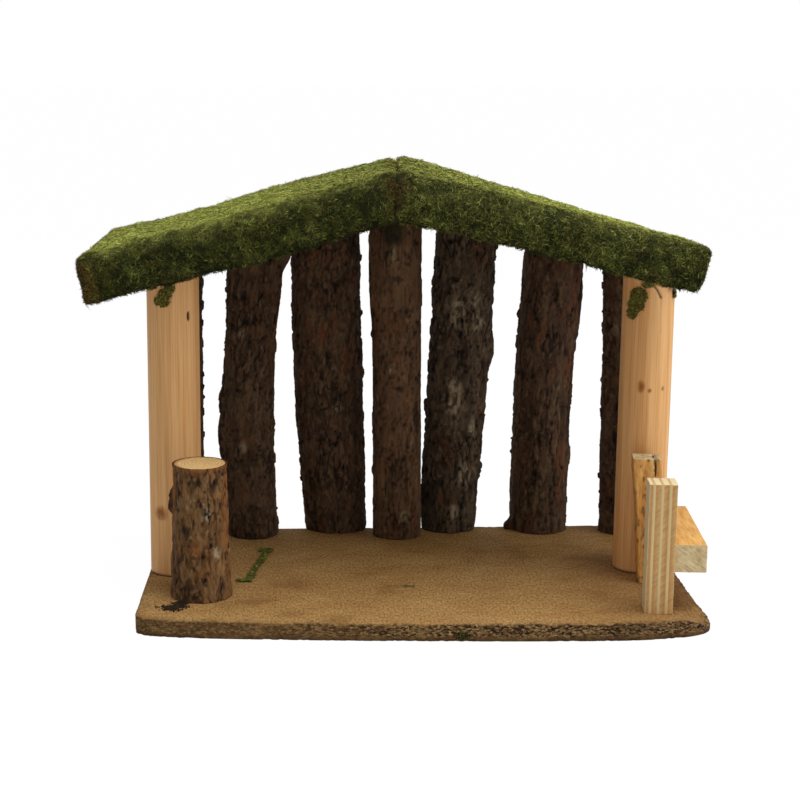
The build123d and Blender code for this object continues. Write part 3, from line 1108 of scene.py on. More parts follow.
@dataclass
class Stump:
    """The short round log that stands at the front left."""

    layout: Layout
    place: Place = (-150.0, -57.0)
    foot: float = 42.6  # widths of the log
    head: float = 37.6
    tall: float = 94.0
    flare: float = 1.7  # how fast the foot spreads out
    pith: Place = (1.2, 0.6)  # of the rings, from the log's middle
    lip: Place = (2.6, 1.0)  # where the saw rubbed the bark, from the top down
    top_rings: tuple[float, ...] = (0.985, 0.955, 0.92, 0.9, 0.8, 0.65, 0.5, 0.35, 0.2, 0.08)
    bark_rings: int = 2  # of those over the top that are still bark
    wood_ring: float = 0.91  # the wood begins here, and has dried and sunk below the bark round it
    wood_sunk: float = 0.35
    saw_rough: float = 0.25
    proud: float = 0.2  # of the plain surface
    patch_gain: float = 1.3  # how strongly the patches of colour show, and how much they hide at most
    patch_most: float = 0.8
    stain_dark: float = 0.85
    top_depth: float = 0.25  # the rubbed bark's share of light plate
    columns: int = 190
    rows: int = 118
    seed: int = 911
    grain: BarkGrain = BarkGrain(
        plate_wide=6.2, plate_long=24.0, furrow=1.0, plate_step=0.5,
        flake_step=0.6, swell=0.4, scale_share=0.02, scale_rise=0.4,
    )
    burrs: tuple[Burr, ...] = (
        Burr(48, 76, 2.5, 52, -1.2), Burr(8, 48, 3, 34, -1.2), Burr(84, 14, 12, 12, 0.8), Burr(-84, 15, 10, 10, 0.8),
        Burr(-90, 79, 5, 17, 4.0), Burr(-95, 40, 5, 30, 0.8),
    )
    patches: tuple[Patch, ...] = (
        Patch(16, 75, 5, 9), Patch(38, 46, 5, 8), Patch(-24, 82, 3, 7),
        # the rust strip at 72 degrees, on the right side, is partly the bark's red layer and partly painted warm light
        # from the right
        Patch(72, 70, 9, 90, Tint.RUST), Patch(-68, 90, 7, 40, Tint.RUST), Patch(-8, 50, 8, 14, Tint.RUST),
    )
    stains: tuple[Mark, ...] = (
        Mark(-28, 21, 16, 24), Mark(14, 42, 6, 9), Mark(-30, 62, 9, 12), Mark(-4, 98, 16, 10), Mark(-90, 80, 8, 20),
        Mark(8, 70, 5, 8), Mark(-48, 44, 7, 18), Mark(48, 22, 6, 10), Mark(30, 92, 5, 12),
    )

    def build(self) -> None:
        """Makes the stump, bark and sawn top in one piece."""
        turn = np.linspace(-pi, pi, self.columns, endpoint=False)[None, :]
        level = np.linspace(0, 1, self.rows)[:, None]
        height = self.layout.base_thick + self.tall * level + 0 * turn
        radius = (self.head + (self.foot - self.head) * (1 - level) ** self.flare) / 2 + 0 * turn
        mean = (self.foot + self.head) / 4
        places = np.stack([mean * np.sin(turn) + 0 * level, -mean * np.cos(turn) + 0 * level, height], axis=-1)
        girth = (turn + pi) * mean + 0 * level
        bark, depth, tone = self.grain.relief(girth, height, places, self.seed, 2 * pi * mean)
        broken, spot = mottle(places, self.seed + 4), (turn, radius, height)
        for burr in self.burrs:
            bark = bark + burr.rise * burr.share(spot) * np.where(burr.rise > 2, broken, 1)
        reach = radius + bark * rise(1 - level, 0.0, 0.03) + self.proud
        ring = np.stack([reach * np.sin(turn), -reach * np.cos(turn), height], axis=-1)
        values = {"depth": depth, "tone": tone}
        for tint in Tint:
            total = self.patch_gain * broken * covered(self.patches, tint, spot)
            values[tint.value] = np.clip(total, 0, self.patch_most)
        # the saw has rubbed the bark's upper edge down to its orange layer
        lip = rise(height - self.layout.base_thick, *(self.tall - down for down in self.lip))
        values[Tint.RUST.value] = np.maximum(values[Tint.RUST.value], self.patch_most * lip)
        for stain in self.stains:
            depth *= 1 - self.stain_dark * broken * stain.share(spot)
        sunk = np.where(np.array(self.top_rings) < self.wood_ring, -self.wood_sunk, 0.0)
        top = shrunk(ring[-1], self.top_rings)
        top[..., 2] += self.saw_rough * lumps(top, (3, 3, 3), 5, 2) + sunk[:, None]
        rings = np.concatenate([ring, top])
        over = len(self.top_rings)
        full = {key: np.concatenate([side, np.repeat(side[-1:], over, 0)]) for key, side in values.items()}
        full["depth"][self.rows :] = self.top_depth
        full["reach"] = np.hypot(rings[..., 0] - self.pith[0], rings[..., 1] - self.pith[1])
        skin = closed(rings + (*self.place, 0.0), full)
        wood = np.arange(len(rings) - 1) >= self.rows + self.bark_rings
        face_finish = np.concatenate([np.repeat(wood, self.columns), np.ones(2 * self.columns)])
        piece = make_piece("bark_stump", skin, (STUMP_BARK, LOG_END), face_finish)
        seat(piece, "pine_bark", "stump_log")


@dataclass(frozen=True)
class Crack:
    """A drying crack in a round post: half its width, how dark it is, and its way as degrees and heights."""

    wide: float
    dark: float
    way: tuple[Place, ...]

    def share(self, spot: Spot) -> Array:
        """How far points lie within the crack.

        Args:
            spot: Where the points are on the post.

        Returns:
            1 in the middle of the crack, falling smoothly to 0 beside it.
        """
        turn, radius, height = spot
        total = np.zeros(height.shape)
        for (turn_a, low), (turn_b, high) in zip(self.way, self.way[1:]):
            part = np.clip((height - low) / (high - low), 0, 1)
            line = radians(turn_a) + part * radians(turn_b - turn_a)
            off = np.hypot((turn - line) * radius, height - (low + part * (high - low)))
            total = np.maximum(total, np.exp(-((off / self.wide) ** 2)))
        return total


@dataclass
class PeeledPost:
    """One of the two shaved round posts, with its knots, pits and drying crack."""

    layout: Layout
    name: str
    place: Place
    diameter: float
    knots: tuple[Burr, ...]
    pits: tuple[Burr, ...] = ()
    cracks: tuple[Crack, ...] = ()
    foot_shift: float = 0.0
    knot_dark: float = 0.97
    hollow: float = 0.22  # of the drawknife's broad flats, and of the fibres in them
    fuzz: float = 0.07
    foot_shadow: float = 0.85  # painted shadow in the joint at the foot
    foot_shadow_tall: Place = (0.4, 2.4)
    columns: int = 180
    rows: int = 260

    def build(self) -> None:
        """Makes the post, cut to the roof's slope at the top."""
        seed = 400 + len(self.name)
        turn = np.linspace(-pi, pi, self.columns, endpoint=False)[None, :]
        level = np.linspace(0, 1, self.rows)[:, None]
        radius = self.diameter / 2
        x = self.place[0] + radius * np.sin(turn)
        height = self.layout.base_thick + level * (self.layout.head_height(x) - self.layout.base_thick)
        places = np.stack([x + 0 * level, -radius * np.cos(turn) + 0 * level, height], axis=-1)
        reach = radius + self.hollow * lumps(places, (16, 16, 70), seed)
        reach = reach + self.fuzz * lumps(places, (2.5, 2.5, 40), seed + 1, 2)
        knot, pit_and_painted_shadow, spot = np.zeros(height.shape), np.zeros(height.shape), (turn, radius, height)
        for burr in self.knots:
            share = burr.share(spot)
            reach = reach + burr.rise * share
            ring = 0.88 + 0.12 * np.cos(4 * pi * share)
            ragged = share * (1 + 0.45 * lumps(places, (1.6, 1.6, 3.2), seed + 2, 2))
            knot = np.maximum(knot, self.knot_dark * rise(ragged, 0.05, 0.95) * ring)
        for burr in self.pits:
            share = burr.share(spot)
            reach = reach + burr.rise * share
            pit_and_painted_shadow = np.maximum(pit_and_painted_shadow, rise(share, 0.15, 0.6))
        for crack in self.cracks:
            share = crack.share(spot)
            reach = reach - min(crack.wide, 1.0) * share
            pit_and_painted_shadow = np.maximum(pit_and_painted_shadow, crack.dark * share)
        # painted shadow at the foot, where the post stands on the base
        pit_and_painted_shadow = np.maximum(pit_and_painted_shadow, self.foot_shadow * (1 - rise(height - self.layout.base_thick, *self.foot_shadow_tall)))
        shift = self.foot_shift * (1 - level)
        rings = np.stack([shift + reach * np.sin(turn), -reach * np.cos(turn), height], axis=-1)
        skin = closed(rings + (*self.place, 0.0), {"knot": knot, "pit_and_painted_shadow": pit_and_painted_shadow})
        seat(make_piece(f"peeled_post_{self.name}", skin, (PEELED_PINE,)), "peeled_pine", f"post_{self.name}")


@dataclass
class BaseBoard:
    """The particle board that everything stands on, with its torn edges."""

    layout: Layout
    # the swollen front edge and its worn right corner, from left to right
    front_way: tuple[Place, ...] = (
        (-191.5, -98.0), (-188.5, -106.0), (-174.0, -112.0), (-120.0, -116.0), (-40.0, -119.2), (45.0, -120.4),
        (130.0, -119.2), (170.0, -113.8), (187.5, -106.2), (195.0, -96.5), (192.6, -86.0),
        (190.2, -76.0), (190.0, -66.0),
    )
    worn_corner: Point = (194.0, -101.0, 14.0)  # place and size of the crushed corner
    worn_deep: float = 6.5
    step: float = 0.8
    edge_rows: int = 17
    chip: Point = (2.6, 2.6, 1.5)  # size of the chips torn out of the edge, and of broader bites
    bite: Point = (14.0, 14.0, 6.0)
    chip_deep: float = 0.9
    lift: float = 0.05  # keeps the nail heads in the underside a hair proud of it
    # insets of the rings from the edge, and how far each is torn
    under_rim: tuple[Place, ...] = ((8.0, 0.0), (2.5, 0.2), (0.9, 0.8))
    worn_rim: tuple[Place, ...] = ((0.7, 0.9), (1.6, 0.7), (3.5, 0.45), (6.0, 0.2), (9.0, 0.0), (12.0, 0.0))
    face_rings: tuple[float, ...] = (0.93, 0.8, 0.6, 0.4, 0.2, 0.06)

    def outline(self) -> Array:
        """Walks round the board's edge.

        Returns:
            Points (x, y) at even steps, counter-clockwise from above, starting at the front left corner.
        """
        half = self.layout.base_width / 2
        front = bend(self.front_way, 400)
        rear = np.array([(half, self.layout.rear_edge(half)), (-half, self.layout.rear_edge(-half))])
        way = np.concatenate([front, rear, front[:1]])
        length = np.concatenate([[0], np.cumsum(np.hypot(*np.diff(way, axis=0).T))])
        even = np.linspace(0, length[-1], round(length[-1] / self.step), endpoint=False)
        return np.column_stack([np.interp(even, length, column) for column in way.T])

    def build(self) -> None:
        """Makes the board, its edge torn into chips and its face flat."""
        way = self.outline()
        ahead = np.roll(way, -2, axis=0) - np.roll(way, 2, axis=0)
        out = unit(np.column_stack([ahead[:, 1], -ahead[:, 0]]))
        half_size = np.array([self.layout.base_width / 2, self.layout.base_depth / 2])
        rows, edge, low = [], [], []
        thick = self.layout.base_thick
        insets = [(inset, self.lift, torn) for inset, torn in self.under_rim]
        insets += [(0.0, z, 1.0) for z in np.linspace(self.lift + 0.5, thick - 0.4, self.edge_rows)]
        insets += [(inset, thick, torn) for inset, torn in self.worn_rim]
        for inset, height, torn in insets:
            ring = np.column_stack([way * (1 - inset / half_size), np.full(len(way), height)])
            bite = lumps(ring, self.chip, 77, 2) + 0.8 * lumps(ring, self.bite, 78)
            shift = self.chip_deep * torn * (0.3 - np.clip(bite + 0.2, 0, 1.6))
            ring[:, :2] += shift[:, None] * out
            if 0 < torn < 1:
                ring[:, 2] -= np.sign(height - thick / 2) * 0.35 * torn * np.clip(bite, 0, 1)
            rows.append(ring)
            rim = rise(ring[:, 2] + 1.6 * lumps(ring, (7, 7, 40), 79, 2), 10.6, 12.8)
            edge.append(np.clip(torn + 0.35 * np.clip(bite, -1, 1) * (torn > 0) - 0.5 * rim, 0, 1))
            smooth = 0.8 * rise(-ring[:, 2] + 1.2 * lumps(ring, (9, 9, 40), 80, 2), -4.8, -2.6)
            on_left = 1 - rise(ring[:, 0] + 30 * lumps(ring, (20, 20, 6), 81), -120, 20)
            low.append(np.maximum(smooth, 0.55 * on_left))
        steps = self.face_rings
        rings = np.concatenate([shrunk(rows[0], steps[::-1]), np.stack(rows), shrunk(rows[-1], steps)])
        corner_x, corner_y, corner_size = self.worn_corner
        worn = np.exp(-(np.hypot(rings[..., 0] - corner_x, rings[..., 1] - corner_y) / corner_size) ** 2)
        rings[..., 2] *= 1 - self.worn_deep / thick * worn
        flat = np.zeros((len(steps), len(way)))
        shares = {key: np.concatenate([flat, np.stack(rim), flat]) for key, rim in (("edge", edge), ("low", low))}
        # painted shadow of the fence and the right post darkens the face round the fence, and the face is a little
        # darker towards the front; painted shadow also darkens the lowest part of the edge, more on the right
        in_front, by_fence = rise(-rings[..., 1], -70, 20), rise(rings[..., 0], 70, 160)
        shares["front_dark_and_fence_shadow"] = 0.12 * in_front + 0.3 * by_fence
        # painted shadow along the foot of the edge, deeper on the right
        near_ground, on_right = 1 - rise(rings[..., 2], 0.8, 3.6), rise(rings[..., 0], 0, 180)
        shares["under"] = np.clip(0.6 * near_ground + 0.25 * on_right, 0, 0.7)
        seat(make_piece("particle_board_base", closed(rings, shares), (PARTICLE_BOARD,)), "chipboard", "base_board")


@dataclass
class RailFence:
    """The short fence at the front right: a plywood upright, a rough split one, and a rail along their outer sides."""

    layout: Layout
    skew: float = 4.3
    inset: float = 21.2
    setback: float = 12.0
    ply: Point = (18.5, 18.0, 89.6)
    ply_proud: float = 0.18  # of the thin pale plies
    veneer: float = 0.3
    split_foot: float = 14.5
    split_head: float = 19.5
    split_deep: float = 16.0
    split_tall: float = 91.0
    head_lean: float = 2.2  # the free end above the rail leans inwards
    apart: float = 48.0
    crack: Point = (4.0, 0.9, 12.5)  # inset from the outer side, width and depth
    gape: Place = (5.0, 2.4)  # how far the crack is open from the top, and from the front
    rail: Point = (21.7, 100.0, 18.9)
    rail_height: float = 28.8
    rail_setback: float = 3.0
    rail_fit: float = 0.3  # left between the rail's scribed end and the post
    rail_shy: float = 0.22  # the outer face is drawn in, so that the nail heads in it stay a hair proud
    mesh_step: float = 0.5
    end_rings: tuple[float, ...] = (0.12, 0.3, 0.5, 0.7, 0.88, 0.97)  # over each end of a block

    def build(self) -> None:
        """Makes the two uprights and the rail."""
        self.ply_upright()
        self.split_upright()
        self.nailed_rail()

    @property
    def corner(self) -> Array:
        """Place of the fence's own corner on the base."""
        return np.array([self.layout.base_width / 2 - self.inset, -self.layout.base_depth / 2 + self.setback])

    def set_out(self, points: Array) -> Array:
        """Moves points from the fence's own corner to its place on the base.

        Args:
            points: Points with x across the fence, y to the back and z up.

        Returns:
            The points in the stable's frame.
        """
        turn, (corner_x, corner_y) = radians(self.skew), self.corner
        x, y, z = np.moveaxis(points, -1, 0)
        placed = (
            corner_x + x * cos(turn) + y * sin(turn),
            corner_y - x * sin(turn) + y * cos(turn),
            self.layout.base_thick + z,
        )
        return np.stack(placed, axis=-1)

    def levels(self, long: float, edge: float, step: float) -> Array:
        """Places of the sections along a block, a step apart, with one more close to each end."""
        inner = np.linspace(3 * edge, long - 3 * edge, round(long / step))
        return np.concatenate([[0, edge], inner, [long - edge, long]])

    def rounded(self, wide: float, deep: float, corner: float) -> Array:
        """Walks round a rectangle with slightly broken corners.

        Args:
            wide: Width, along x from 0.
            deep: Depth, along y from 0.
            corner: Radius of the corners.

        Returns:
            Points (x, y), counter-clockwise, at about the mesh step.
        """
        way = []
        for middle_x, middle_y, start in (
            (corner, corner, pi),
            (wide - corner, corner, 1.5 * pi),
            (wide - corner, deep - corner, 0.0),
            (corner, deep - corner, 0.5 * pi),
        ):
            for turn in np.linspace(start, start + pi / 2, 4):
                way.append((middle_x + corner * cos(turn), middle_y + corner * sin(turn)))
        loop = np.array([*way, way[0]])
        dense = [loop[:1]]
        for here, there in zip(loop, loop[1:]):
            count = max(1, round(np.hypot(*(there - here)) / self.mesh_step))
            dense.append(here + (there - here) * np.linspace(0, 1, count + 1)[1:, None])
        return np.concatenate(dense)[:-1]

    def block(self, ring: Array, levels: Array, rough: float, seed: int) -> Array:
        """Stacks a ring into a rough block.

        Args:
            ring: Points (x, y) of the section.
            levels: Heights of the section's copies.
            rough: How far the sawn or split faces wander, in millimetres.
            seed: Picks one pattern out of many.

        Returns:
            The rings, with those over the two ends.
        """
        steps = self.end_rings
        stack = np.stack([np.column_stack([ring, np.full(len(ring), z)]) for z in levels])
        rows = np.concatenate([shrunk(stack[0], steps), stack, shrunk(stack[-1], steps[::-1])])
        shift = np.stack([lumps(rows, (3.2, 3.2, 9), seed + axis, 3) for axis in range(3)], axis=-1)
        return rows + rough * shift * (1, 1, 0.5)

    def ply_upright(self) -> None:
        """Makes the plywood upright, with its thin pale plies standing a little proud."""
        wide, deep, tall = self.ply
        ring, levels = self.rounded(wide, deep, corner=0.5), self.levels(tall, edge=0.4, step=1.0)
        rows = self.block(ring, levels, rough=0.14, seed=610)
        across, pitch = rows[..., 0].copy(), SAWN_PLYWOOD.ply_pitch
        stripe = np.abs((across - SAWN_PLYWOOD.first_pale + pitch / 2) % pitch - pitch / 2)
        rows[..., 1] += np.where(rows[..., 1] < 1, -self.ply_proud, 0) * (1 - rise(stripe, 0.5, 1.1))
        top = np.zeros(across.shape)
        top[across < self.veneer] = 1.0
        top[-len(self.end_rings) - 1 :] = 1.0
        skin = closed(self.set_out(rows - (wide, 0, 0)), {"ply": across, "top": top})
        seat(make_piece("sawn_ply_upright", skin, (SAWN_PLYWOOD,)), "plywood", "fence_upright_ply")

    def split_upright(self) -> None:
        """Makes the rough split upright, wider at its head, with a drying crack down from the top."""
        tall, deep = self.split_tall, self.split_deep
        inset, crack_wide, crack_deep = self.crack
        ring, levels = self.rounded(self.split_head, deep, corner=0.8), self.levels(tall, edge=0.5, step=0.9)
        rows = self.block(ring, levels, rough=0.75, seed=640)
        share = np.clip(rows[..., 2] / tall, 0, 1)
        taper = self.split_foot + (self.split_head - self.split_foot) * share**0.6
        across = rows[..., 0] / self.split_head * taper - taper
        from_crack = across + inset + crack_wide / 2
        down = tall - rows[..., 2]
        open_wide = crack_wide / 2 * np.clip(1.1 - down / crack_deep, 0, 1)
        gape = np.exp(-((from_crack / (open_wide + 0.3)) ** 2)) * (down < crack_deep)
        rows[..., 2] -= np.where(down < 1.0, self.gape[0] * gape, 0)
        rows[..., 1] += np.where(rows[..., 1] < 1.8, self.gape[1] * gape, 0)
        rows[..., 0] = across - self.head_lean * rise(rows[..., 2], self.rail_height + self.rail[2], tall)
        rows[..., 1] += self.ply[1] + self.apart
        pits = rise(lumps(rows, (2.4, 2.4, 4.5), 655, 2), 0.2, 0.5)
        skin = closed(self.set_out(rows), {"knot": 0.8 * pits, "pit_and_painted_shadow": 0.95 * gape})
        sawn_top = np.arange(len(rows) - 1) >= len(rows) - len(self.end_rings) - 2
        face_finish = np.concatenate([np.repeat(sawn_top, len(ring)), np.ones(2 * len(ring))])
        piece = make_piece("rough_split_upright", skin, (SPLIT_PINE, SPRUCE_END), face_finish)
        seat(piece, "split_pine", "fence_upright_split")

    def nailed_rail(self) -> None:
        """Makes the sawn rail, whose far end is scribed round the right post."""
        wide, long, tall = self.rail
        ring, levels = self.rounded(wide, tall, corner=0.7), self.levels(long, edge=0.4, step=1.0)
        rows = self.block(ring, levels, rough=0.16, seed=670)
        x, along, up = rows[..., 0] * (1 - self.rail_shy / wide), rows[..., 2], rows[..., 1]
        turn, (off_x, off_y) = radians(self.skew), self.layout.right_post - self.corner
        post_x = off_x * cos(turn) - off_y * sin(turn)
        post_y = off_x * sin(turn) + off_y * cos(turn)
        room = np.clip((self.layout.post_wide / 2 + self.rail_fit) ** 2 - (x - post_x) ** 2, 0, None)
        scribed = np.minimum(self.rail_setback + long, np.where(room > 0, post_y - np.sqrt(room), np.inf))
        along = along / long * (scribed - self.rail_setback)
        placed = np.stack([x, self.rail_setback + along, self.rail_height + up], axis=-1)
        blank = np.zeros(x.shape)
        points, faces, values = closed(self.set_out(placed), {"knot": blank, "pit_and_painted_shadow": blank})
        level, over = np.arange(len(rows) - 1), len(self.end_rings)
        sawn_end = (level < over) | (level >= len(rows) - over - 1)
        face_finish = np.concatenate([np.repeat(sawn_end, len(ring)), np.ones(2 * len(ring))])
        skin = (points, [group[:, ::-1] for group in faces], values)
        piece = make_piece("sawn_rail", skin, (SAWN_SPRUCE, SPRUCE_END), face_finish)
        seat(piece, "sawn_spruce", "fence_rail")


@dataclass
class Strands:
    """Moss fibres gathered before they become one mesh: blades that taper to a point, straight or curling."""

    seed: int
    wide: float = 0.6
    curling: bool = True
    glint_share: float = 0.1  # single fibres painted in the lit colour, as painted glints among their neighbours
    groups: list[tuple[Array, ...]] = field(default_factory=list)

    def add(
        self, roots: Array, ways: Array, outs: Array, lengths: Array, levels: Array, shades: Array, dryness: Array
    ) -> None:
        """Adds fibres.

        Args:
            roots: Where each fibre starts.
            ways: The way that each one runs, as a unit vector.
            outs: The way out of the moss there, as a unit vector.
            lengths: Length of each one, in millimetres.
            levels: From 0, deep in the moss and in painted shade, to 1, on top of it.
            shades: From 0, painted as lit, to 1, painted in shade.
            dryness: Chance of each one to have gone brown.
        """
        self.groups.append((roots, ways, outs, lengths, levels, shades, dryness))

    def blades(self) -> Skin:
        """Turns the fibres into blades.

        Returns:
            Points, faces and colour numbers.
        """
        rng = np.random.default_rng(self.seed)
        root, way, out, length, level, shade, dryness = (np.concatenate(column) for column in zip(*self.groups))
        count, length = len(root), length[:, None]
        side = unit(np.cross(way, out))
        half = unit(side + rng.normal(0, 0.7, (count, 1)) * out) * self.wide / 2 * rng.uniform(0.6, 1.3, (count, 1))
        if self.curling:
            curl = rng.uniform(-1, 1, (count, 1)) * side + rng.uniform(-0.5, 0.05, (count, 1)) * out
            knee = root + length * (0.55 * way + 0.2 * curl)
            tip = root + length * (0.9 * way + 0.8 * curl)
            corners = [root - half, root + half, knee - 0.85 * half, knee + 0.85 * half, tip]
            ramp, sides = (0.55, 0.55, 0.9, 0.9, 1.0), ((0, 1, 3, 2), (2, 3, 4))
        else:
            corners = [root - half, root + half, root + length * way]
            ramp, sides = (0.6, 0.6, 1.0), ((0, 1, 2),)
        first = len(corners) * np.arange(count)[:, None]
        dry = (rng.random(count) < dryness) * rng.uniform(0.5, 1, count)
        # painted glints: a share of the fibres is painted more lit than the rest
        shade = np.clip(shade - 0.5 * (rng.random(count) < self.glint_share), 0, 1)
        values = {
            # painted shade: from the dark root colour deep in the moss to the tip colour
            "along": (level[:, None] * np.array(ramp)).ravel(),
            "tint": np.repeat(rng.random(count), len(corners)),
            "dry": np.repeat(dry, len(corners)),
            "shade": np.repeat(shade, len(corners)),
        }
        return np.stack(corners, axis=1).reshape(-1, 3), [first + np.array(each) for each in sides], values


def joined(parts: Sequence[Skin]) -> Skin:
    """Puts several skins into one.

    Args:
        parts: Points, faces and numbers of each skin.

    Returns:
        Points, faces and numbers of the whole.
    """
    starts = np.cumsum([0, *(len(points) for points, _, _ in parts)])
    faces = [group + start for (_, groups, _), start in zip(parts, starts) for group in groups]
    values = {key: np.concatenate([numbers[key] for _, _, numbers in parts]) for key in parts[0][2]}
    return np.concatenate([points for points, _, _ in parts]), faces, values


def rolled(first: Array, second: Array, radius: Array | float) -> tuple[Array, Array]:
    """Rolls a square edge over.

    Args:
        first: Distance of each point from one face of the edge.
        second: Distance of each point from the other face.
        radius: Radius of the roll, in millimetres.

    Returns:
        Both distances, with the points outside the roll drawn in to it.
    """
    off_first, off_second = radius - first, radius - second
    reach = np.hypot(off_first, off_second)
    over = (off_first > 0) & (off_second > 0) & (reach > radius)
    share = np.where(over, radius / np.maximum(reach, 1e-6), 1)
    return np.where(over, radius - off_first * share, first), np.where(over, radius - off_second * share, second)


def skin_of(node: str, voxel: float) -> tuple[Array, Array, Array]:
    """Covers a solid with an even net of small faces.

    Args:
        node: The solid's name.
        voxel: Size of a face, in millimetres.

    Returns:
        Points and outward normals of the net, in millimetres, and its four-cornered faces.
    """
    copy = in_scene("net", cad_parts[node].data.copy())
    remesh = copy.modifiers.new("net", "REMESH")
    remesh.mode = "VOXEL"
    remesh.voxel_size = voxel * MM
    net = bpy.data.meshes.new_from_object(copy.evaluated_get(bpy.context.evaluated_depsgraph_get()))
    points, normals = np.empty((2, 3 * len(net.vertices)), dtype=np.float32)
    corners = np.empty(len(net.loops), dtype=np.int32)
    net.vertices.foreach_get("co", points)
    net.vertices.foreach_get("normal", normals)
    net.loops.foreach_get("vertex_index", corners)
    plain = copy.data
    bpy.data.objects.remove(copy)
    bpy.data.meshes.remove(plain)
    bpy.data.meshes.remove(net)
    return points.reshape(-1, 3).astype(float) / MM, normals.reshape(-1, 3).astype(float), corners.reshape(-1, 4)


@dataclass(frozen=True)
class MossCore:
    """Lumpy core of one mat, with the place of each of its points on the slope."""

    side: int  # -1 on the left slope, 1 on the right
    points: Array
    faces: Array
    along: Array  # down the slope from the ridge
    glued: Array  # on the side that is glued to the boards or to the other mat


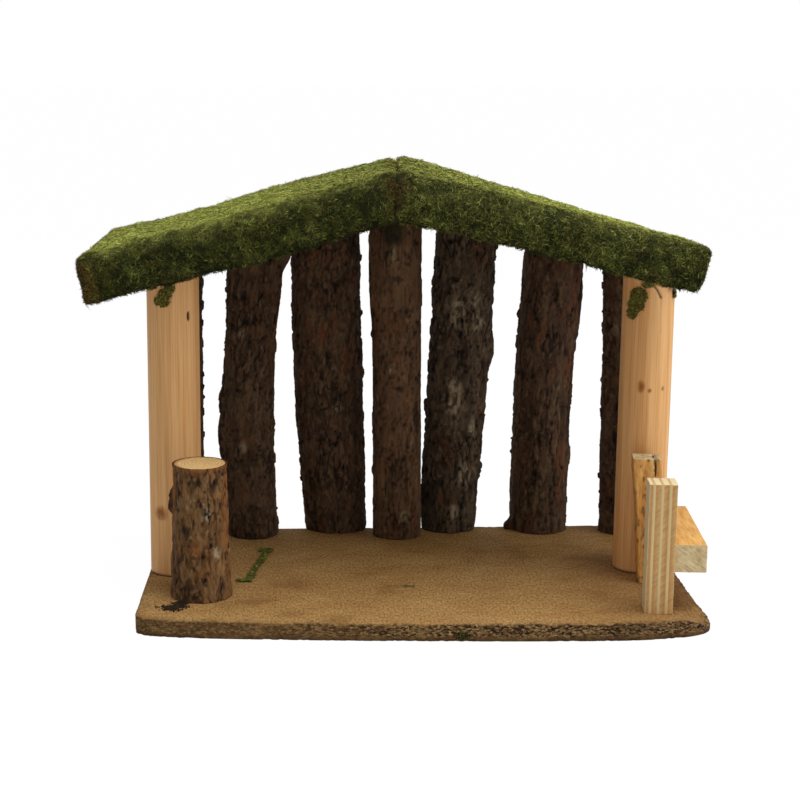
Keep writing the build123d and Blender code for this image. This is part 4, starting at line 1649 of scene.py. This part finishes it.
@dataclass
class MossRoof:
    """The two moss mats over the roof boards, rolled over the front edge and the ends."""

    layout: Layout
    net: float = 3.0
    core_inset: float = 0.4
    pile_long: float = 2.7  # of the straight fibres
    pile_wide: float = 0.55
    curl_long: float = 3.4  # of the curling ones
    curl_wide: float = 0.42
    curl_share: float = 0.14  # curling fibres to one straight fibre
    front_density: float = 3.5  # fibres to a square millimetre
    top_density: float = 0.95
    rear_density: float = 1.3
    strip: float = 42.0  # how far back the close pile of the front runs on
    moss_top: float = 10.0
    moss_front: float = 8.0
    front_roll: float = 17.0
    end_front_roll: Place = (11.0, 4.0)  # what is left of it at the ends, on the left and on the right
    roll_fade: float = 45.0  # length over which it gets smaller
    end_roll: Place = (2.4, 1.0)
    end_reach: tuple[Place, ...] = ((1.6, 0.5), (-1.7, 1.2))  # of the pile, from its hem to its top
    end_levels: Place = (-4.0, 22.0)  # of that hem and top, over the boards' underside
    reach_fade: float = 60.0
    end_lift: float = 1.2  # of the top at the right end
    left_dip: float = 2.2  # in the left mat's rear, and how far down the slope it is
    left_dip_at: float = 155.0
    ridge_roll: float = 7.5
    rear_droop: float = 5.0  # of the right mat, below a swell beside the ridge
    rear_swell: float = 0.8
    rear_swell_at: float = 24.0
    seam_shift: Place = (-6.8, 2.6)  # of the joint from the boards' mitre, at the front and at the rear
    seam_run: float = 200.0  # from front to rear
    seam_fade: float = 70.0
    hem_lift: tuple[tuple[float, ...], ...] = ((-0.5, -3.0, -1.2), (-0.3, 0.2, 0.6))  # from the ridge to the end
    hem_at: Point = (0.0, 85.0, 200.0)
    painted_sun_band: tuple[Place, ...] = ((-12.0, 42.0), (-14.0, 88.0))  # where the moss is painted as sunlit, back from the front
    glint_fibres: Place = (0.07, 0.2)  # share of single fibres painted in the lit colour, as glints, on each slope
    # roots and tips of the stalks that stray from the left mat and from the right one
    strays: tuple[tuple[tuple[Point, Point], ...], ...] = (
        (((-134.7, 114.0, 272.8), (-142.2, 115.0, 275.0)), ((-222.0, -79.5, 219.0), (-218.3, -80.0, 214.2))),
        (
            ((105.9, -80.0, 246.0), (106.8, -80.0, 239.6)), ((106.4, -80.0, 246.0), (106.4, -80.0, 239.2)),
            ((107.0, -80.0, 246.0), (106.2, -80.0, 240.2)), ((107.4, -80.0, 246.0), (106.6, -80.0, 240.6)),
        ),
    )

    def build(self) -> None:
        """Makes the mat on each slope."""
        for name, side in (("left", -1), ("right", 1)):
            core = self.core(name, side)
            facing = unit(np.cross(*self.edges(core)))
            lit = np.zeros(len(core.points))
            face_lit = self.sun(side, core.points[core.faces].mean(axis=1), facing)
            np.maximum.at(lit, core.faces.ravel(), np.repeat(face_lit, 4))
            blank = np.zeros(len(core.points))
            # the core is painted in the nearly black root colour, as painted shade under the fibres, and lighter, in
            # the lit tip colour, where it is painted as sunlit
            values = {
                "along": np.clip(0.07 + 0.3 * lit + 0.12 * lumps(core.points, 5, 560), 0.02, 1),
                "tint": blank + 0.5,
                "dry": blank,
                "shade": 1 - lit,
            }
            skins = [(core.points, [core.faces], values), *(strands.blades() for strands in self.fibres(core))]
            seat(make_piece(f"moss_mat_{name}", joined(skins), (ROOF_MOSS,)), "moss", f"roof_moss_{name}")

    def core(self, name: str, side: int) -> MossCore:
        """Shapes one mat's core from its solid: edges rolled over, lumps, a hanging hem and a joint at the ridge.

        Args:
            name: Name of the slope.
            side: -1 on the left, 1 on the right.

        Returns:
            The core.
        """
        layout, pitch, which = self.layout, self.layout.pitch(side), side > 0
        points, normals, faces = skin_of(f"roof_moss_{name}", self.net)
        off_x, off_z = side * (points[:, 0] - layout.ridge_x), points[:, 2] - layout.ridge_z
        along = off_x * cos(pitch) - off_z * sin(pitch)
        above = off_x * sin(pitch) + off_z * cos(pitch)
        top = layout.board_thick + self.moss_top
        front = self.front()
        run = along.max()
        up = side * normals[:, 0] * sin(pitch) + normals[:, 2] * cos(pitch)
        out = side * normals[:, 0] * cos(pitch) - normals[:, 2] * sin(pitch)
        glued = (up < -0.5) & (above > 8) | (out < -0.5) & (above < top - 4)
        glued |= (normals[:, 1] > 0.5) & (points[:, 1] < front + self.moss_front + 4) & (above > 0)
        roll = self.front_roll + (self.end_front_roll[which] - self.front_roll) * rise(along, run - self.roll_fade, run)
        inward, down = rolled(points[:, 1] - front, top - above, roll)
        from_end, down = rolled(run - along, down, self.end_roll[which])
        from_end, inward = rolled(from_end, inward, self.end_roll[which])
        from_ridge, down = rolled(off_x, down, self.ridge_roll)
        above = top - down
        reach = np.interp(above, self.end_levels, self.end_reach[which])
        along = run - from_end + from_ridge - off_x + reach * rise(along, run - self.reach_fade, run)
        moved = np.column_stack([
            layout.ridge_x + side * (along * cos(pitch) + above * sin(pitch)),
            front + inward,
            layout.ridge_z - along * sin(pitch) + above * cos(pitch),
        ])
        back, upper = rise(inward, 8, 190), rise(above, 12, 20)
        if side > 0:
            moved[:, 2] -= self.rear_droop * back * rise(along, 20, 200) * upper
            moved[:, 2] += self.rear_swell * back * (1 - rise(np.abs(along - self.rear_swell_at), 10, 40)) * upper
            moved[:, 2] += self.end_lift * rise(along, run - 18, run) * upper * (1 - 2.2 * back)
        else:
            moved[:, 2] -= self.left_dip * back * (1 - rise(np.abs(along - self.left_dip_at), 20, 70)) * upper
        hem = rise(-above, -12, 4) * rise(-inward, -9, -7)
        lift = np.interp(along, self.hem_at, self.hem_lift[which])
        moved[:, 2] += hem * (lift + lumps(points, (9, 9, 30), 520))
        swell = 1.2 * lumps(points, 17, 500 + side, 2) + 0.8 * lumps(points, 6, 510 + side)
        moved += normals * (swell - self.core_inset)[:, None]
        off = side * (moved[:, 0] - layout.ridge_x)
        off = np.where(off_x < 3, np.minimum(off, 0.4 * off_x), off)
        moved[:, 0] = layout.ridge_x + side * np.maximum(off, 0.05)
        at_front, at_rear = self.seam_shift
        skew = at_front + (at_rear - at_front) * np.clip(inward / self.seam_run, 0, 1)
        moved[:, 0] += skew * (1 - rise(off_x, 4, self.seam_fade))
        return MossCore(side, moved, faces, along, glued)

    def front(self) -> float:
        """Place of the mats' front, before it is rolled over."""
        return -self.layout.base_depth / 2 + self.layout.roof_front_inset - self.moss_front

    def edges(self, core: MossCore) -> tuple[Array, Array]:
        """Two edges of each face of a core."""
        first = core.points[core.faces[:, 0]]
        return core.points[core.faces[:, 1]] - first, core.points[core.faces[:, 3]] - first

    def sun(self, side: int, places: Array, normals: Array) -> Array:
        """How far the moss is painted as sunlit: painted light and shade.

        Args:
            side: -1 on the left slope, 1 on the right.
            places: Points on the moss.
            normals: The way out of the moss there.

        Returns:
            Numbers from 0, painted in shade, to 1, painted as sunlit.
        """
        near, far = self.painted_sun_band[side > 0]
        from_ridge = rise(np.abs(places[:, 0] - self.layout.ridge_x), 8, 140)
        from_front = places[:, 1] - self.front() + 18 * lumps(places, (5, 9, 5), 565, 3)
        return rise(from_front, near, far) * rise(normals[:, 2], 0.25, 0.95) * (0.65 + 0.35 * from_ridge)

    def fibres(self, core: MossCore) -> tuple[Strands, Strands]:
        """Strews fibres over a core.

        Args:
            core: The mat's core.

        Returns:
            Straight fibres of the pile with the stray stalks, and curling ones on top of them.
        """
        rng = np.random.default_rng(70 + core.side)
        faces, (across_a, across_b) = core.faces, self.edges(core)
        slant = np.cross(across_a, across_b)
        facing, middle = unit(slant), core.points[faces].mean(axis=1)
        in_front = (facing[:, 1] < -0.3) | (middle[:, 1] - self.front() < self.strip)
        density = np.where(facing[:, 2] > 0.7, self.top_density, self.rear_density)
        density = np.where(in_front & (facing[:, 2] > -0.5), self.front_density, density)
        hidden = (core.glued[faces].mean(axis=1) > 0.4) & (facing[:, 1] > -0.25)
        density = np.where(hidden, 0, density) * np.linalg.norm(slant, axis=1)
        pale = self.glint_fibres[core.side > 0]
        pile = Strands(900 + core.side, self.pile_wide, curling=False, glint_share=pale)
        curls = Strands(910 + core.side, self.curl_wide, curling=True, glint_share=pale)
        run, along = core.along.max(), core.along[faces].mean(axis=1)
        kinds = ((pile, 1.0, self.pile_long, 0.0), (curls, self.curl_share, self.curl_long, 0.5))
        for strands, share, long, low in kinds:
            which = np.repeat(np.arange(len(faces)), rng.poisson(share * density))
            count, normal = len(which), facing[which]
            spread = rng.random((count, 2)) - 0.5
            root = middle[which] + spread[:, :1] * across_a[which] + spread[:, 1:] * across_b[which]
            level = np.clip(rng.uniform(low, 1.0, count) * (0.8 + 0.9 * lumps(root, 3.2, 535, 2)), 0.0, 1)
            root = root + normal * (1.3 * level - 0.3)[:, None]
            swirl = np.stack([lumps(root, 8, 530 + axis) for axis in range(3)], axis=-1)
            swirl += 0.8 * rng.normal(size=root.shape)
            way = unit(swirl - normal * (swirl * normal).sum(axis=1, keepdims=True))
            way = unit(way + normal * rng.uniform(0.0, 0.35, (count, 1)))
            length = long * rng.uniform(0.6, 1.3, count)
            lit = self.sun(core.side, root, normal)
            place = along[which]
            end_strip = rise(place, run - 16, run - 4) * (normal[:, 2] < 0.6) * (core.side < 0)
            # painted light: fibres where the moss is painted as sunlit are lighter and take the lit tip colour, and the
            # curls on top are painted a little more lit
            level = np.clip(level + 0.3 * lit + 0.2 * end_strip, 0, 1)
            shade = np.clip(1 - lit + 0.2 * lumps(root, 12, 550) - 0.3 * low, 0, 1)
            seam = 1 - rise(place, 0.5, 4.5)
            # painted shade darkens the front-facing fibres in the joint at the ridge
            level = level * (1 - 0.25 * seam * rise(-normal[:, 1], -0.2, 0.4))
            seam_dry = seam * (0.15 + 0.6 * rise(-normal[:, 1], 0.3, 0.9))
            dryness = 0.07 + 0.08 * lumps(root, 14, 555) + np.maximum(0.85 * end_strip, seam_dry)
            strands.add(root, way, normal, length, level, shade, dryness)
        start, stop = np.array(self.strays[core.side > 0]).transpose(1, 0, 2)
        reach = np.linalg.norm(stop - start, axis=1)
        ahead, one = (stop - start) / reach[:, None], np.ones(len(start))
        pile.add(start, ahead, np.tile([0.0, -1.0, 0.0], (len(start), 1)), reach, 0.3 * one, one, one)
        return pile, curls


@dataclass
class Litter:
    """Loose moss stuck to the posts and lying on the base, and crumbs of bark at the stump's foot."""

    layout: Layout
    left_clumps: tuple[Mark, ...] = (
        Mark(-2, 221, 6, 5), Mark(-13, 217, 8.5, 7), Mark(-16, 211.5, 7, 6), Mark(-29, 212, 5, 5),
    )
    right_clumps: tuple[Mark, ...] = (
        Mark(-33, 214.5, 11, 10), Mark(-38, 208.5, 11, 9), Mark(-46, 202.5, 7, 8), Mark(-14, 222.5, 7, 3),
        Mark(60, 216, 4, 7),
    )
    clump_density: float = 9.0  # fibres to a square millimetre
    stem: tuple[Place, ...] = ((-106.7, 47), (-110.7, 24), (-115.7, -4), (-118.7, -27))
    stem_count: int = 1300
    stem_spread: Place = (2.1, 1.5)
    # middle, count and spread of the fibres at the strand's head and foot, and of a few that lie apart from it
    heaps: tuple[tuple[Place, int, Place], ...] = (
        ((-108.7, 47.0), 320, (5.0, 4.0)), ((-121.7, -27.5), 300, (5.0, 2.6)), ((-5.4, -40.6), 26, (4.5, 0.7)),
    )
    smear: Point = (26.7, -121.2, 4.6)  # some more that are stuck to the base's front edge
    smear_count: int = 130
    smear_spread: Point = (2.6, 0.25, 1.4)
    crumbs: Place = (-167.5, -86.5)

    def build(self) -> None:
        """Makes the tufts on the posts, the strand on the base and the crumbs."""
        self.tuft("left", self.layout.left_post, self.left_clumps)
        self.tuft("right", self.layout.right_post, self.right_clumps)
        self.lying_strand()
        self.bark_crumbs()

    def tuft(self, name: str, post: Place, clumps: Sequence[Mark]) -> None:
        """Makes one tuft of moss on a post, from a few clumps that run together.

        Args:
            name: The post's side.
            post: Place of the post's middle.
            clumps: Where the clumps are on the post.
        """
        rng, radius = np.random.default_rng(720 + len(name)), self.layout.post_wide / 2
        strands = Strands(750 + len(name))
        for clump in clumps:
            count = round(clump.wide * clump.tall * self.clump_density)
            spin, reach = rng.uniform(0, 2 * pi, count), 0.55 * np.sqrt(rng.random(count))
            turn = radians(clump.turn) + reach * np.cos(spin) * clump.wide / radius
            height = clump.height + reach * np.sin(spin) * clump.tall
            out = np.column_stack([np.sin(turn), -np.cos(turn), np.zeros(count)])
            level = rng.uniform(0.05, 1, count)
            axis = np.column_stack([np.tile(post, (count, 1)), height])
            root = axis + out * (radius + 0.1 + 1.6 * level)[:, None]
            wander = rng.normal(size=root.shape)
            way = unit(wander - out * (wander * out).sum(axis=1, keepdims=True) + 0.3 * out)
            # painted light and shade: the fibres that stand out furthest are painted as lit, those deep in the tuft in
            # shade
            length, shade = rng.uniform(0.9, 2.2, count), np.clip(0.95 - 0.5 * level, 0, 1)
            strands.add(root, way, out, length, level, shade, np.full(count, 0.55))
        seat(make_piece(f"post_moss_{name}", strands.blades(), (ROOF_MOSS,)), "moss", f"moss_tuft_{name}")

    def lying_strand(self) -> None:
        """Makes the strand of moss on the base: a frayed string with a wider head and foot."""
        rng, route = np.random.default_rng(760), np.array(self.stem, dtype=float)
        share = np.linspace(0, len(route) - 1, self.stem_count)
        stem = np.column_stack([np.interp(share, np.arange(len(route)), column) for column in route.T])
        parts = [stem + rng.uniform(-1, 1, stem.shape) * self.stem_spread]
        for middle, count, spread in self.heaps:
            parts.append(middle + rng.uniform(-1, 1, (count, 2)) * spread)
        flat = np.concatenate(parts)
        count, level = len(flat), rng.uniform(0.2, 1, len(flat))
        root = np.column_stack([flat, self.layout.base_thick + 0.2 + 1.4 * level])
        way = unit(rng.normal(size=root.shape) * (1, 1, 0.1))
        strands, out = Strands(770), np.tile([0.0, 0.0, 1.0], (count, 1))
        # painted light: the strand on the base is painted part-way between the lit and the shaded moss
        length, shade = rng.uniform(1.2, 3.0, count), np.full(count, 0.6)
        strands.add(root, way, out, length, level, shade, np.full(count, 0.03))
        count = self.smear_count
        root = self.smear + rng.normal(0, 1, (count, 3)) * self.smear_spread
        way = unit(rng.normal(size=root.shape) * (1, 0.1, 1))
        level, out = rng.uniform(0.0, 0.5, count), np.tile([0.0, -1.0, 0.0], (count, 1))
        # painted shade: the moss on the front edge is painted mostly in shade
        length, shade = rng.uniform(0.9, 2.0, count), np.full(count, 0.8)
        strands.add(root, way, out, length, level, shade, np.full(count, 0.1))
        seat(make_piece("lying_moss_strand", strands.blades(), (ROOF_MOSS,)), "moss", "moss_strand")

    def bark_crumbs(self) -> None:
        """Makes the crumbs: small broken lumps in a heap that trails from the stump's foot."""
        rng = np.random.default_rng(780)
        heap = rng.normal(0, 1, (300, 2)) * (4.2, 3.0)
        to_stump = rng.normal(0, 1, (220, 2)) * (3.0, 3.5) + (5.5, 8.0)
        trail = np.column_stack([rng.uniform(-14, 12, 90), rng.normal(1.5, 0.7, 90)])
        flat = np.concatenate([heap, to_stump, trail]) + self.crumbs
        count = len(flat)
        size = rng.uniform(0.4, 1.3, count) * np.exp(-np.abs(flat[:, 0] - self.crumbs[0]) / 16)
        middle = np.column_stack([flat, self.layout.base_thick + 0.45 * size])
        # four corners round each crumb's middle, one above it and one below
        quarter = rng.uniform(0, 2 * pi, (count, 1)) + pi / 2 * np.arange(4)
        corners = np.zeros((count, 6, 3))
        corners[:, :4, 0], corners[:, :4, 1], corners[:, 4:, 2] = np.cos(quarter), np.sin(quarter), (0.6, -0.6)
        corners *= rng.uniform(0.6, 1.3, (count, 6, 1))
        points = middle[:, None, :] + corners * size[:, None, None]
        sides = [(0, 1, 4), (1, 2, 4), (2, 3, 4), (3, 0, 4), (1, 0, 5), (2, 1, 5), (3, 2, 5), (0, 3, 5)]
        faces = (6 * np.arange(count)[:, None, None] + np.array(sides)[None]).reshape(-1, 3)
        values = {"depth": np.full(6 * count, 0.1), "tone": np.repeat(rng.random(count), 6)}
        seat(make_piece("bark_crumbs", (points.reshape(-1, 3), [faces], values), (STUMP_BARK,)), "pine_bark")


@dataclass(frozen=True)
class Softbox:
    """A square soft lamp: power in watts, side and place in metres, and degrees turned from straight down."""

    name: str
    power: float
    size: float
    place: Point
    turn: Point


@dataclass
class Studio:
    """Plain pale floor, soft light from above and in front, and the camera."""

    camera_place: Point = (-0.07034, -1.15520, 0.37505)
    camera_tilt: float = 78.423
    lens: float = 74.25
    sensor: float = 36.0
    shift: float = 0.105  # the object stands to the right of the picture's axis
    sky: float = 0.36
    softboxes: tuple[Softbox, ...] = (
        Softbox("overhead_softbox", 17.0, 1.0, (0.2, -0.35, 1.25), (-17, 10, 0)),
        Softbox("side_softbox", 11.5, 0.8, (1.8, -0.7, 0.72), (72, 0, 69)),
    )
    floor_colour: str = "#d8d8d8"
    floor_half: float = 30.0
    floor_drop: float = 0.0002
    glow: float = 1.06  # brings the paper that the camera sees up to white
    glow_share: float = 0.92  # what is left of the paper keeps its shadow

    def build(self) -> None:
        """Sets up the floor, the light and the camera."""
        bpy.context.scene.view_settings.view_transform = "Standard"
        self.floor()
        self.lights()
        self.camera()

    def seen(self, tree: Tree) -> Socket:
        """Adds the test for rays that see the background.

        Args:
            tree: Node tree of the floor or the world.

        Returns:
            1 for camera, mirror and glass rays, and 0 for the rest.
        """
        seen = add_node(tree, "ShaderNodeLightPath", {}, give="Is Camera Ray")
        rays = seen.node.outputs
        for kind in ("Is Glossy Ray", "Is Transmission Ray"):
            seen = add_node(tree, "ShaderNodeMath", {0: seen, 1: rays[kind]}, operation="MAXIMUM")
        return seen

    def floor(self) -> None:
        """Makes the pale floor, which keeps a faint shadow."""
        material = bpy.data.materials.new("matt_paper_sweep")
        material.use_nodes = True
        tree = material.node_tree
        tree.nodes.clear()
        paper = add_node(tree, "ShaderNodeBsdfDiffuse", {"Color": linear(self.floor_colour)})
        glow = add_node(tree, "ShaderNodeEmission", {"Color": linear("#ffffff"), "Strength": self.glow})
        share = add_node(tree, "ShaderNodeMath", {0: self.seen(tree), 1: self.glow_share}, operation="MULTIPLY")
        mixed = add_node(tree, "ShaderNodeMixShader", {0: share, 1: paper, 2: glow})
        add_node(tree, "ShaderNodeOutputMaterial", {"Surface": mixed})
        mesh, half = bpy.data.meshes.new("paper_floor"), self.floor_half
        mesh.from_pydata([(-half, -half, 0), (half, -half, 0), (half, half, 0), (-half, half, 0)], [], [(0, 1, 2, 3)])
        mesh.materials.append(material)
        floor = in_scene("paper_floor", mesh)
        floor.location.z = -self.floor_drop

    def lights(self) -> None:
        """Makes the white surroundings and two large soft lamps."""
        world = bpy.data.worlds.new("white_room")
        world.use_nodes = True
        bpy.context.scene.world = world
        tree = world.node_tree
        tree.nodes.clear()
        room = add_node(tree, "ShaderNodeBackground", {"Color": linear("#ffffff"), "Strength": self.sky})
        white = add_node(tree, "ShaderNodeBackground", {"Color": linear("#ffffff"), "Strength": 1.0})
        mixed = add_node(tree, "ShaderNodeMixShader", {0: self.seen(tree), 1: room, 2: white})
        add_node(tree, "ShaderNodeOutputWorld", {"Surface": mixed})
        for softbox in self.softboxes:
            lamp = bpy.data.lights.new(softbox.name, "AREA")
            lamp.size = softbox.size
            lamp.energy = softbox.power
            holder = in_scene(softbox.name, lamp)
            holder.location = softbox.place
            holder.rotation_euler = [radians(turn) for turn in softbox.turn]

    def camera(self) -> None:
        """Makes the camera at the photograph's viewing angle."""
        view = bpy.data.cameras.new("view")
        view.lens = self.lens
        view.sensor_width = self.sensor
        view.shift_x = self.shift
        view.clip_start = 0.05
        view.clip_end = 60.0
        holder = in_scene("view", view)
        holder.location = self.camera_place
        holder.rotation_euler = (radians(self.camera_tilt), 0, 0)
        bpy.context.scene.camera = holder


@dataclass
class CarriedSolids:
    """Solids whose own shape is right, which only need their finish."""

    finishes: dict[str, Finish]

    def build(self) -> None:
        """Puts the finish on each solid."""
        for name, finish in self.finishes.items():
            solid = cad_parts[name]
            solid.data.materials.clear()
            solid.data.materials.append(finish.material())
            log.info("%s: %s", name, finish.name)


def main() -> None:
    """Builds the dressed stable and its studio, in order."""
    logging.basicConfig(level=logging.INFO, format="%(message)s")
    Studio().build()
    BaseBoard(LAYOUT).build()
    LogWall(LAYOUT, ROW_LOGS).build()
    PeeledPost(
        LAYOUT, "left", LAYOUT.left_post, 37.0,
        knots=(Burr(-30, 59, 11, 10.5, 0.4),),
        pits=(Burr(40, 201, 2.4, 7, -1.4),),
        foot_shift=-0.8,
    ).build()
    PeeledPost(
        LAYOUT, "right", LAYOUT.right_post, LAYOUT.post_wide,
        knots=(Burr(-19, 150, 5.5, 9, 0.2), Burr(-0.5, 147.4, 2.6, 3.2, 0.1), Burr(31, 148.4, 2.6, 3.6, 0.1)),
        cracks=(
            Crack(0.9, 1.0, ((-12, 226.0), (-2, 222.4), (8, 218.6), (17, 213.6))),
            Crack(0.4, 0.22, ((16.5, 215), (17, 202), (17.5, 188))),
            # this one is no drying crack: a painted shadow band under the moss hem, pressed in a little
            Crack(4.0, 0.7, ((-9, 223.4), (45, 220.6))),
        ),
    ).build()
    Stump(LAYOUT).build()
    RailFence(LAYOUT).build()
    MossRoof(LAYOUT).build()
    Litter(LAYOUT).build()
    CarriedSolids(
        {
            "roof_board_left": PARTICLE_BOARD,
            "roof_board_right": PARTICLE_BOARD,
            "base_nails": NAIL_STEEL,
            "roof_nails": NAIL_STEEL,
            "rail_nails": NAIL_STEEL,
        }
    ).build()


if __name__ == "__main__":
    main()
